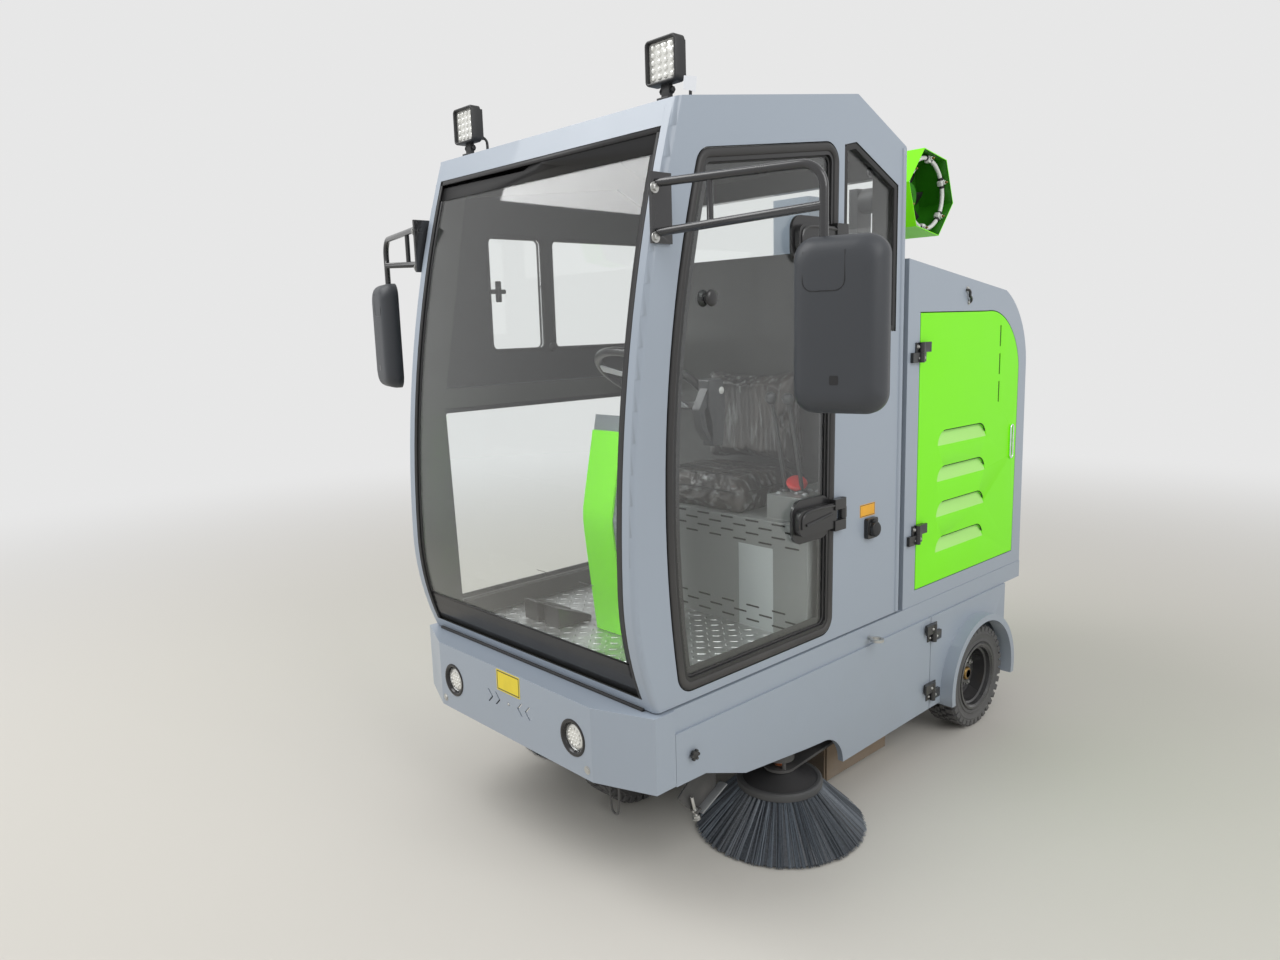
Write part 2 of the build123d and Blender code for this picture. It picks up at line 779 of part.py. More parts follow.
# Driver's seat on a slotted sheet box.
seat_half = 225
seat_front = 700
seat_back = 1060
seat_box_height = 330
cushion_height = 90
cushion_length = 370
control_x = 350
control_station = 860
control_width = 130
control_length = 260
control_height = 70
seat_box_play = 2
cushion_corner = 50
cushion_overhang = 10
backrest_thickness = 76
backrest_narrow = 20
backrest_corner = 30
backrest_height = 330
backrest_taper = 4
backrest_proud = 2
with BuildPart() as seat_box:
    with BuildSketch(Plane.XY.offset(floor_top)):
        with Locations((0, at((seat_front + seat_back) / 2))):
            Rectangle(2 * (cab_half - cab_wall - seat_box_play), seat_back - seat_front)
    extrude(amount=seat_box_height)
    with BuildSketch(Plane.XY.offset(floor_top + seat_box_height)):
        with Locations((control_x, at(control_station))):
            Rectangle(control_width, control_length)
    extrude(amount=control_height)
save(seat_box, "seat_box")

with BuildPart() as seat_cushions:
    with BuildSketch(Plane.XY.offset(floor_top + seat_box_height + fit_gap)):
        with Locations((0, at(seat_front + cushion_length / 2 - cushion_overhang))):
            RectangleRounded(2 * seat_half, cushion_length, cushion_corner)
    extrude(amount=cushion_height)
    with BuildSketch(Plane.XY.offset(floor_top + seat_box_height + cushion_height + 2 * fit_gap)):
        with Locations((0, at(seat_back + backrest_proud - backrest_thickness / 2))):
            RectangleRounded(2 * (seat_half - backrest_narrow), backrest_thickness, backrest_corner)
    extrude(amount=backrest_height, taper=backrest_taper)
save(seat_cushions, "seat_cushions")

# Foot pedals on the floor.
pedal_places = (-190, -290)
pedal_width = 70
pedal_front = 300
pedal_back = 430
pedal_heel = 14
pedal_toe = 66
with BuildPart() as pedals:
    for pedal_x in pedal_places:
        with BuildSketch(Plane.YZ.offset(pedal_x - pedal_width / 2)):
            with BuildLine():
                Polyline(
                    (at(pedal_front), floor_top),
                    (at(pedal_back), floor_top),
                    (at(pedal_back), floor_top + pedal_heel),
                    (at(pedal_front), floor_top + pedal_toe),
                    close=True,
                )
            make_face()
        extrude(amount=pedal_width)
save(pedals, "pedals")

# Rear body: a welded housing with a door on each side and one at the back.
body_rear = length
body_tail_lean = 10
body_tail_drop = 255
body_tail_bow = 44
shoulder = (at(body_rear - body_tail_radius + body_tail_lean), up(body_front_height - body_shoulder_drop))
tail_top = (at(body_rear - body_tail_lean), up(body_front_height - body_shoulder_drop - body_tail_drop))


def body_face(shrink=0):
    """Face of the rear body seen from the side, pulled in all round by shrink."""
    with BuildSketch() as face:
        with BuildLine():
            Polyline(
                tail_top,
                (at(body_rear), up(0)),
                (at(body_front), up(0)),
                (at(body_front), up(body_front_height)),
                shoulder,
            )
            ThreePointArc(shoulder, bulge(shoulder, tail_top, body_tail_bow), tail_top)
        make_face()
        if shrink:
            offset(amount=-shrink, kind=Kind.INTERSECTION, mode=Mode.REPLACE)
    return face.sketch


side_door_front = body_front + 68
side_door_rear = body_rear - 66
side_door_low = 48
side_door_high = 909
side_door_corner = (245, 190)
side_door_bow = 62


def side_door_face(shrink=0):
    """Face of a side door of the body: square corners but for the upper rear one."""
    rear_top = (at(side_door_rear), up(side_door_high - side_door_corner[1]))
    top_rear = (at(side_door_rear - side_door_corner[0]), up(side_door_high))
    with BuildSketch() as face:
        with BuildLine():
            Polyline(
                rear_top,
                (at(side_door_rear), up(side_door_low)),
                (at(side_door_front), up(side_door_low)),
                (at(side_door_front), up(side_door_high)),
                top_rear,
            )
            ThreePointArc(top_rear, bulge(top_rear, rear_top, side_door_bow), rear_top)
        make_face()
        if shrink:
            offset(amount=-shrink, kind=Kind.INTERSECTION, mode=Mode.REPLACE)
    return face.sketch


rear_door_half = 380
rear_door_low = 60
rear_door_high = 700
with BuildPart() as body_shell:
    with BuildSketch(Plane.YZ.offset(-body_half)):
        add(body_face())
    extrude(amount=2 * body_half)
    with BuildSketch(Plane.YZ.offset(-body_half + body_wall)):
        add(body_face(body_wall))
    extrude(amount=2 * (body_half - body_wall), mode=Mode.SUBTRACT)
    with BuildSketch(Plane.YZ.offset(-half_width)):
        add(side_door_face())
    extrude(amount=2 * half_width, mode=Mode.SUBTRACT)
    with BuildSketch(Plane.XZ.offset(-at(body_rear - 2 * body_wall))):
        with Locations((0, up((rear_door_low + rear_door_high) / 2))):
            Rectangle(2 * rear_door_half, rear_door_high - rear_door_low)
    extrude(amount=-4 * body_wall, mode=Mode.SUBTRACT)

# Green side doors with louvres pressed inwards and a pull handle in a raised oval frame.
side_door_thickness = 22
louvre_front = 1329
louvre_rear = 1647
louvre_heights = (147, 262, 377, 492)
louvre_height = 48
louvre_depth = 14
pull_station = 1834
pull_height = 454
pull_width = 26
pull_length = 122
pull_proud = 4
pull_rim = 7
pull_depth = 12
slot_station = body_rear - 212
slot_heights = ((600, 672), (694, 766), (788, 860))
slot_width = 8
leaf_thickness = 7
leaf_length = 48
leaf_seat = 34
door_pin_x = body_half + hinge_knuckle_radius + 1
door_pin_station = side_door_front - 4
door_hinge_levels = (230, 790)

# Air pocket of a louvre: square at its foot, round at both upper corners, and deepest
# along the top.
with BuildPart() as louvre_pocket:
    with BuildSketch(Plane.YZ.offset(-louvre_depth)) as pocket_face:
        with Locations((at((louvre_front + louvre_rear) / 2), louvre_height / 2)):
            Rectangle(louvre_rear - louvre_front, louvre_height)
        fillet(pocket_face.vertices().group_by(Axis.Y)[-1], louvre_height - 1)
    extrude(amount=louvre_depth + 1)
    with BuildSketch(Plane.XZ.offset(-at(louvre_front))):
        with BuildLine():
            Polyline((1, 0), (0, 0), (-louvre_depth, louvre_height), (1, louvre_height), close=True)
        make_face()
    extrude(amount=-(louvre_rear - louvre_front), mode=Mode.INTERSECT)

for side, name in ((1, "left"), (-1, "right")):
    face_x = side * body_half - (side_door_thickness if side > 0 else 0)
    pocket = louvre_pocket.part if side > 0 else mirror(louvre_pocket.part, about=Plane.YZ)
    with BuildPart() as side_door:
        with BuildSketch(Plane.YZ.offset(face_x)):
            add(side_door_face(panel_gap))
            for low, high in slot_heights:
                with Locations((at(slot_station), up((low + high) / 2))):
                    SlotCenterToCenter(high - low - slot_width, slot_width, rotation=90, mode=Mode.SUBTRACT)
        extrude(amount=side_door_thickness)
        with Locations(*[(side * body_half, 0, up(height)) for height in louvre_heights]):
            add(pocket, mode=Mode.SUBTRACT)
        with BuildSketch(Plane.YZ.offset(side * (body_half - 1))):
            with Locations((at(pull_station), up(pull_height))):
                SlotOverall(pull_length, pull_width, rotation=90)
        extrude(amount=side * (pull_proud + 1))
        with BuildSketch(Plane.YZ.offset(side * (body_half + pull_proud))):
            with Locations((at(pull_station), up(pull_height))):
                SlotOverall(pull_length - 2 * pull_rim, pull_width - 2 * pull_rim, rotation=90)
        extrude(amount=-side * pull_depth, mode=Mode.SUBTRACT)
        for level in door_hinge_levels:
            with BuildSketch(Plane.XY.offset(up(level))):
                with Locations((side * door_pin_x, at(door_pin_station))):
                    Circle(hinge_knuckle_radius)
                with Locations((side * (door_pin_x + 1), at(door_pin_station + leaf_length / 2))):
                    Rectangle(leaf_thickness, leaf_length)
                with Locations((side * (body_half + door_pin_x) / 2, at(side_door_front + panel_gap + leaf_seat / 2))):
                    Rectangle(door_pin_x - body_half, leaf_seat)
                with Locations((side * door_pin_x, at(door_pin_station))):
                    Circle(hinge_pin_radius + fit_gap, mode=Mode.SUBTRACT)
            extrude(amount=hinge_height / 2)
    save(side_door, "body_door_" + name)

# Hinge halves with their pins that stay on the cab pillar and on the housing.
with BuildPart() as door_hinges:
    for height in door_hinge_heights:
        with BuildSketch(Plane.XY.offset(up(height) - fork_low + fit_gap)):
            with Locations((door_hinge_x, at(door_hinge_station))):
                Circle(door_knuckle_radius)
            with Locations(((cab_half + door_hinge_x + fit_gap) / 2, at(door_hinge_station + fixed_leaf_length / 2))):
                Rectangle(door_hinge_x - cab_half - fit_gap, fixed_leaf_length)
        extrude(amount=2 * (fork_low - fit_gap))
        with BuildSketch(Plane.XY.offset(up(height) - fork_high)):
            with Locations((door_hinge_x, at(door_hinge_station))):
                Circle(door_pin_radius)
        extrude(amount=2 * fork_high)
    for side in (-1, 1):
        for level in door_hinge_levels:
            with BuildSketch(Plane.XY.offset(up(level) - hinge_height / 2)):
                with Locations((side * door_pin_x, at(door_pin_station))):
                    Circle(hinge_knuckle_radius)
                with Locations((side * (body_half + door_pin_x + fit_gap) / 2, at(door_pin_station - leaf_length / 2))):
                    Rectangle(door_pin_x - body_half - fit_gap, leaf_length)
            extrude(amount=hinge_height / 2 - fit_gap)
            with BuildSketch(Plane.XY.offset(up(level) - hinge_height / 2)):
                with Locations((side * door_pin_x, at(door_pin_station))):
                    Circle(hinge_pin_radius)
            extrude(amount=hinge_height)
save(door_hinges, "door_hinges")

# Rear door of the body, hinged on its right edge.
rear_door_thickness = 22
rear_pin_station = body_rear + hinge_knuckle_radius + 1
rear_pin_x = -rear_door_half - 4
rear_hinge_inset = 110
rear_hinge_levels = (rear_door_low + rear_hinge_inset, rear_door_high - rear_hinge_inset)
rear_leaf = 44
rear_leaf_seat = 30
rear_knuckle_arm = 20
rear_handle_size = (34, 120, 16)
rear_handle_inset = 60
rear_handle_corner = 8
rear_handle_lap = 2
with BuildPart() as rear_door:
    with BuildSketch(Plane.XZ.offset(-at(body_rear - rear_door_thickness))):
        with Locations((0, up((rear_door_low + rear_door_high) / 2))):
            Rectangle(2 * (rear_door_half - panel_gap), rear_door_high - rear_door_low - 2 * panel_gap)
    extrude(amount=-rear_door_thickness)
    for level in rear_hinge_levels:
        with BuildSketch(Plane.XY.offset(up(level))):
            with Locations((rear_pin_x, at(rear_pin_station))):
                Circle(hinge_knuckle_radius)
            with Locations((rear_pin_x + rear_leaf / 2, at(rear_pin_station + 1))):
                Rectangle(rear_leaf, leaf_thickness)
            with Locations((rear_pin_x + rear_leaf - rear_leaf_seat / 2, at((body_rear + rear_pin_station) / 2))):
                Rectangle(rear_leaf_seat, rear_pin_station - body_rear)
            with Locations((rear_pin_x, at(rear_pin_station))):
                Circle(hinge_pin_radius + fit_gap, mode=Mode.SUBTRACT)
        extrude(amount=hinge_height / 2)
    with BuildSketch(Plane.XZ.offset(-at(body_rear - rear_handle_lap))):
        with Locations((rear_door_half - rear_handle_inset, up((rear_door_low + rear_door_high) / 2))):
            RectangleRounded(rear_handle_size[0], rear_handle_size[1], rear_handle_corner)
    extrude(amount=-rear_handle_size[2])
save(rear_door, "rear_door")

# Fixed halves of the rear door's hinges, part of the housing.
with BuildPart() as rear_hinge_halves:
    for level in rear_hinge_levels:
        with BuildSketch(Plane.XY.offset(up(level) - hinge_height / 2)):
            with Locations((rear_pin_x, at(rear_pin_station))):
                Circle(hinge_knuckle_radius)
            with Locations((rear_pin_x - rear_leaf / 2, at(rear_pin_station - leaf_thickness))):
                Rectangle(rear_leaf, rear_knuckle_arm)
            with Locations((rear_pin_x - rear_leaf / 2 - 6, at(body_rear - 8))):
                Rectangle(rear_leaf - 12, rear_knuckle_arm)
        extrude(amount=hinge_height / 2 - fit_gap)
        with BuildSketch(Plane.XY.offset(up(level) - hinge_height / 2)):
            with Locations((rear_pin_x, at(rear_pin_station))):
                Circle(hinge_pin_radius)
        extrude(amount=hinge_height)

# Skirt doors below the sill, hinged at their rear edge, cut out over the side brush.
skirt_front = nose_depth + 1
skirt_rear = length - 640
skirt_top = frame_bottom
skirt_thickness = 18
brush_station = 620
brush_x = half_width - 81
skirt_low = 140
skirt_bow = 30
skirt_heel = 8
skirt_points = [
    (at(skirt_front), skirt_top),
    (at(skirt_front), sill_top - 193),
    (at(brush_station - 390), sill_top - 195),
    (at(brush_station - 240), sill_top - 251),
    (at(brush_station + 15), sill_top - 277),
    (at(brush_station + 90), sill_top - 283),
]
skirt_arc_end = (at(brush_station + 194), skirt_low)
skirt_pin_x = half_width + hinge_knuckle_radius + 1
skirt_pin_station = skirt_rear + 2
skirt_hinge_levels = (skirt_top - 50, skirt_top - 250)
for side, name in ((1, "left"), (-1, "right")):
    with BuildPart() as skirt_door:
        with BuildSketch(Plane.YZ.offset(side * half_width - (skirt_thickness if side > 0 else 0))):
            with BuildLine():
                Polyline(*skirt_points)
                ThreePointArc(skirt_points[-1], bulge(skirt_points[-1], skirt_arc_end, skirt_bow), skirt_arc_end)
                Polyline(
                    skirt_arc_end,
                    (at(skirt_rear - panel_gap), skirt_low + skirt_heel),
                    (at(skirt_rear - panel_gap), skirt_top),
                    skirt_points[0],
                )
            make_face()
        extrude(amount=skirt_thickness)
        for level in skirt_hinge_levels:
            with BuildSketch(Plane.XY.offset(level)):
                with Locations((side * skirt_pin_x, at(skirt_pin_station))):
                    Circle(hinge_knuckle_radius)
                with Locations((side * (skirt_pin_x + 1), at(skirt_pin_station - leaf_length / 2))):
                    Rectangle(leaf_thickness, leaf_length)
                with Locations((side * (half_width + skirt_pin_x) / 2, at(skirt_rear - panel_gap - leaf_seat / 2))):
                    Rectangle(skirt_pin_x - half_width, leaf_seat)
                with Locations((side * skirt_pin_x, at(skirt_pin_station))):
                    Circle(hinge_pin_radius + fit_gap, mode=Mode.SUBTRACT)
            extrude(amount=hinge_height / 2)
    save(skirt_door, "skirt_door_" + name)

# Rear fenders: fixed panels with a wheel arch that stands proud as a bent band.
arch_inner = tyre_radius + 24
arch_outer = tyre_radius + 46
arch_proud = 44
arch_width = arch_proud + skirt_skin
fender_rear = length - 122
fender_low = 206
with BuildPart() as rear_fenders:
    for side in (-1, 1):
        with BuildSketch(Plane.YZ.offset(side * half_width - (skirt_skin if side > 0 else 0))):
            with BuildLine():
                Polyline(
                    (at(skirt_rear), skirt_top),
                    (at(skirt_rear), skirt_low + skirt_heel),
                    (at(rear_axle_station), skirt_low + skirt_heel),
                    (at(rear_axle_station), fender_low),
                    (at(fender_rear), fender_low),
                    (at(fender_rear), skirt_top),
                    close=True,
                )
            make_face()
            with Locations((at(rear_axle_station), tyre_radius)):
                Circle((arch_inner + arch_outer) / 2, mode=Mode.SUBTRACT)
        extrude(amount=skirt_skin)
        with BuildSketch(Plane.YZ.offset(side * (half_width + (arch_proud - skirt_skin) / 2) - arch_width / 2)):
            with Locations((at(rear_axle_station), tyre_radius)):
                Circle(arch_outer)
                Circle(arch_inner, mode=Mode.SUBTRACT)
            with Locations((at(rear_axle_station), skirt_low - arch_outer)):
                Rectangle(3 * arch_outer, 2 * arch_outer, mode=Mode.SUBTRACT)
        extrude(amount=arch_width)
        for level in skirt_hinge_levels:
            with BuildSketch(Plane.XY.offset(level - hinge_height / 2)):
                with Locations((side * skirt_pin_x, at(skirt_pin_station))):
                    Circle(hinge_knuckle_radius)
                with Locations((side * (half_width + skirt_pin_x) / 2, at(skirt_pin_station + leaf_length / 2))):
                    Rectangle(skirt_pin_x - half_width, leaf_length)
            extrude(amount=hinge_height / 2 - fit_gap)
            with BuildSketch(Plane.XY.offset(level - hinge_height / 2)):
                with Locations((side * skirt_pin_x, at(skirt_pin_station))):
                    Circle(hinge_pin_radius)
            extrude(amount=hinge_height)

# Back skirt under the tail, open for the dust hopper.
runner_clearance = 6
hopper_half = runner_x - runner_clearance
hopper_low = runner_top + fit_gap
hopper_high = frame_bottom - 5
hopper_front = housing_rear + cross_width / 2 + 15
hopper_rear = fender_rear - 4
with BuildPart() as tail_skirt:
    with BuildSketch(Plane.XZ.offset(-at(fender_rear - skirt_skin))):
        with Locations((0, (fender_low + frame_bottom) / 2)):
            Rectangle(2 * (half_width - skirt_skin), frame_bottom - fender_low)
        with Locations((0, (fender_low + frame_bottom) / 2)):
            Rectangle(2 * (runner_x + runner_thickness + panel_gap), frame_bottom - fender_low, mode=Mode.SUBTRACT)
    extrude(amount=-skirt_skin)

with BuildPart() as rear_skirt:
    add(rear_fenders.part)
    add(tail_skirt.part)
save(rear_skirt, "rear_skirt")

# Tail lamps, one round cluster on each side of the back skirt.
tail_lamp_x = 425
tail_lamp_z = 372
tail_lamp_radius = 40
tail_lamp_depth = 16
with BuildPart() as tail_lamps:
    with BuildSketch(Plane.XZ.offset(-at(fender_rear))):
        for side in (-1, 1):
            with Locations((side * tail_lamp_x, tail_lamp_z)):
                Circle(tail_lamp_radius)
    extrude(amount=-tail_lamp_depth)

with BuildPart() as lamps:
    add(headlamps.part)
    add(work_lamps.part)
    add(tail_lamps.part)
save(lamps, "lamps")

# Dust hopper: an open tray under the tail that slides out to the rear.
hopper_wall = 6
hopper_lip = hopper_low + 24
throw_half = hopper_half - 15
grip_x = 180
grip_size = (120, 14, 14)
with BuildPart() as dust_hopper:
    with BuildSketch(Plane.XY.offset(hopper_low)):
        with Locations((0, at((hopper_front + hopper_rear) / 2))):
            Rectangle(2 * hopper_half, hopper_rear - hopper_front)
    extrude(amount=hopper_high - hopper_low)
    with BuildSketch(Plane.XY.offset(hopper_low + hopper_wall)):
        with Locations((0, at((hopper_front + hopper_rear) / 2))):
            Rectangle(2 * (hopper_half - hopper_wall), hopper_rear - hopper_front - 2 * hopper_wall)
    extrude(amount=hopper_high - hopper_low, mode=Mode.SUBTRACT)
    with BuildSketch(Plane.XZ.offset(-at(hopper_front - 1))):
        with Locations((0, hopper_lip + length / 2)):
            Rectangle(2 * throw_half, length)
    extrude(amount=-hopper_wall - cut_spare, mode=Mode.SUBTRACT)
    with BuildSketch(Plane.XZ.offset(-at(hopper_rear))):
        for side in (-1, 1):
            with Locations((side * grip_x, (hopper_low + hopper_high) / 2)):
                Rectangle(grip_size[0], grip_size[1])
    extrude(amount=-grip_size[2])
save(dust_hopper, "dust_hopper")

# Rear axle: a tube through both hangers with a stub for each wheel.
axle_shoulder_gap = 8
stub_reach = 22
axle_half = rear_wheel_x - tyre_width / 2 - axle_shoulder_gap
stub_half = rear_wheel_x + stub_reach
with BuildPart() as rear_axle:
    with BuildSketch(Plane.YZ.offset(-axle_half)):
        with Locations((at(rear_axle_station), tyre_radius)):
            Circle(axle_radius)
    extrude(amount=2 * axle_half)
    with BuildSketch(Plane.YZ.offset(-stub_half)):
        with Locations((at(rear_axle_station), tyre_radius)):
            Circle(stub_radius)
    extrude(amount=2 * stub_half)
save(rear_axle, "rear_axle")


bead_inset = 6
bead_rise = 14


def tyre_section(centre_x):
    """Half section of a tyre, in the plane that holds the wheel's axis."""
    half = tyre_width / 2
    with BuildSketch() as section:
        with BuildLine():
            Polyline(
                (centre_x - half + bead_inset, bead_radius + fit_gap),
                (centre_x + half - bead_inset, bead_radius + fit_gap),
                (centre_x + half - bead_inset, flange_radius),
                (centre_x + half, flange_radius + bead_rise),
                (centre_x + half, tyre_radius - tyre_shoulder),
                (centre_x + half - tyre_shoulder, tyre_radius),
                (centre_x - half + tyre_shoulder, tyre_radius),
                (centre_x - half, tyre_radius - tyre_shoulder),
                (centre_x - half, flange_radius + bead_rise),
                (centre_x - half + bead_inset, flange_radius),
                close=True,
            )
        make_face()
    return section.sketch


rim_skin = 5
disc_thickness = 8
hub_length = 56
disc_setback = 14


def rim_section(centre_x, disc_x):
    """Half section of a rim: barrel, two flanges, disc and hub."""
    half = tyre_width / 2
    with BuildSketch() as section:
        with Locations((centre_x, bead_radius - rim_skin / 2)):
            Rectangle(tyre_width - 2 * bead_inset + 2 * flange_thickness, rim_skin)
        for side in (-1, 1):
            with Locations((centre_x + side * (half - bead_inset + flange_thickness / 2), (bead_radius + flange_radius - 1) / 2)):
                Rectangle(flange_thickness - 2 * fit_gap, flange_radius - bead_radius + 1)
        with Locations((disc_x, (bead_radius + stub_radius + fit_gap) / 2)):
            Rectangle(disc_thickness, bead_radius - stub_radius - fit_gap)
        with Locations((disc_x, (hub_radius + stub_radius + fit_gap) / 2)):
            Rectangle(hub_length, hub_radius - stub_radius - fit_gap)
    return section.sketch


wheels = (
    ("rear_left", rear_wheel_x, rear_axle_station, rear_wheel_x - disc_setback),
    ("rear_right", -rear_wheel_x, rear_axle_station, -rear_wheel_x + disc_setback),
    ("front", 0, front_axle_station, 0),
)
for name, wheel_x, station, disc_x in wheels:
    axle_plane = Plane((0, at(station), tyre_radius), x_dir=(1, 0, 0), z_dir=(0, -1, 0))
    axle_line = Axis((0, at(station), tyre_radius), (1, 0, 0))
    with BuildPart() as tyre:
        with BuildSketch(axle_plane):
            add(tyre_section(wheel_x))
        revolve(axis=axle_line)
    save(tyre, "tyre_" + name)
    with BuildPart() as rim:
        with BuildSketch(axle_plane):
            add(rim_section(wheel_x, disc_x))
        revolve(axis=axle_line)
    save(rim, "rim_" + name)

# Steering fork: crown and stem, two legs and the front wheel's spindle.
leg_thickness = 12
leg_inner = tyre_width / 2 + axle_shoulder_gap
leg_foot_half = 34
crown_half = 55
crown_corner = 8
crown_low = 2 * tyre_radius + 8
crown_high = frame_bottom - head_tube_drop - 2
stem_setback = 10
spindle_proud = 6
with BuildPart() as steering_fork:
    with BuildSketch(Plane.XY.offset(crown_low)):
        with Locations((0, at(front_axle_station))):
            RectangleRounded(2 * (leg_inner + leg_thickness), 2 * crown_half, crown_corner)
    extrude(amount=crown_high - crown_low)
    with BuildSketch(Plane.XY.offset(crown_low)):
        with Locations((0, at(front_axle_station))):
            Circle(stem_radius)
    extrude(amount=sill_top - stem_setback - crown_low)
    for side in (-1, 1):
        with BuildSketch(Plane.YZ.offset(side * (leg_inner + leg_thickness / 2) - leg_thickness / 2)):
            with BuildLine():
                Polyline(
                    (at(front_axle_station - leg_foot_half), tyre_radius - leg_foot_half),
                    (at(front_axle_station + leg_foot_half), tyre_radius - leg_foot_half),
                    (at(front_axle_station + crown_half), crown_high),
                    (at(front_axle_station - crown_half), crown_high),
                    close=True,
                )
            make_face()
        extrude(amount=leg_thickness)
    with BuildSketch(Plane.YZ.offset(-leg_inner - leg_thickness - spindle_proud)):
        with Locations((at(front_axle_station), tyre_radius)):
            Circle(stub_radius)
    extrude(amount=2 * (leg_inner + leg_thickness + spindle_proud))
save(steering_fork, "steering_fork")

# Main brush: a wide roller in an open-bottomed housing with hanging flaps.
roller_station = 1060
roller_radius = 148
roller_half = 345
roller_height = roller_radius + 4
housing_half = 380
housing_skin = 5
housing_low = 70
flap_thickness = 6
flap_low = 6
side_flap_top = 190
end_flap_top = 130
shaft_radius = 14
shaft_hole_radius = 18
with BuildPart() as brush_housing:
    with BuildSketch(Plane.XY.offset(housing_low)):
        with Locations((0, at((housing_front + housing_rear) / 2))):
            Rectangle(2 * housing_half, housing_rear - housing_front)
    extrude(amount=frame_bottom - housing_low)
    with BuildSketch(Plane.XY.offset(housing_low)):
        with Locations((0, at((housing_front + housing_rear) / 2))):
            Rectangle(2 * (housing_half - housing_skin), housing_rear - housing_front - 2 * housing_skin)
    extrude(amount=frame_bottom - housing_low - housing_skin, mode=Mode.SUBTRACT)
    with BuildSketch(Plane.YZ.offset(-housing_half)):
        with Locations((at(roller_station), roller_height)):
            Circle(shaft_radius + fit_gap)
    extrude(amount=2 * housing_half, mode=Mode.SUBTRACT)
    with BuildSketch(Plane.XZ.offset(-at(housing_rear - 2 * housing_skin))):
        with Locations((0, (hopper_lip + hopper_high) / 2)):
            Rectangle(2 * throw_half, hopper_high - hopper_lip)
    extrude(amount=-4 * housing_skin, mode=Mode.SUBTRACT)
save(brush_housing, "brush_housing")

with BuildPart() as brush_flaps:
    for side in (-1, 1):
        with BuildSketch(Plane.YZ.offset(side * (housing_half + flap_thickness / 2) - flap_thickness / 2)):
            with Locations((at((housing_front + housing_rear) / 2), (flap_low + side_flap_top) / 2)):
                Rectangle(housing_rear - housing_front, side_flap_top - flap_low)
            with Locations((at(roller_station), roller_height)):
                Circle(shaft_hole_radius, mode=Mode.SUBTRACT)
        extrude(amount=flap_thickness)
    for y in (at(housing_front) - flap_thickness, at(housing_rear)):
        with BuildSketch(Plane.XZ.offset(-y)):
            with Locations((0, (flap_low + end_flap_top) / 2)):
                Rectangle(2 * housing_half, end_flap_top - flap_low)
        extrude(amount=-flap_thickness)
save(brush_flaps, "brush_flaps")

with BuildPart() as main_brush:
    with BuildSketch(Plane.YZ.offset(-roller_half)):
        with Locations((at(roller_station), roller_height)):
            Circle(roller_radius)
    extrude(amount=2 * roller_half)
    with BuildSketch(Plane.YZ.offset(-housing_half)):
        with Locations((at(roller_station), roller_height)):
            Circle(shaft_radius)
    extrude(amount=2 * housing_half)
save(main_brush, "main_brush")

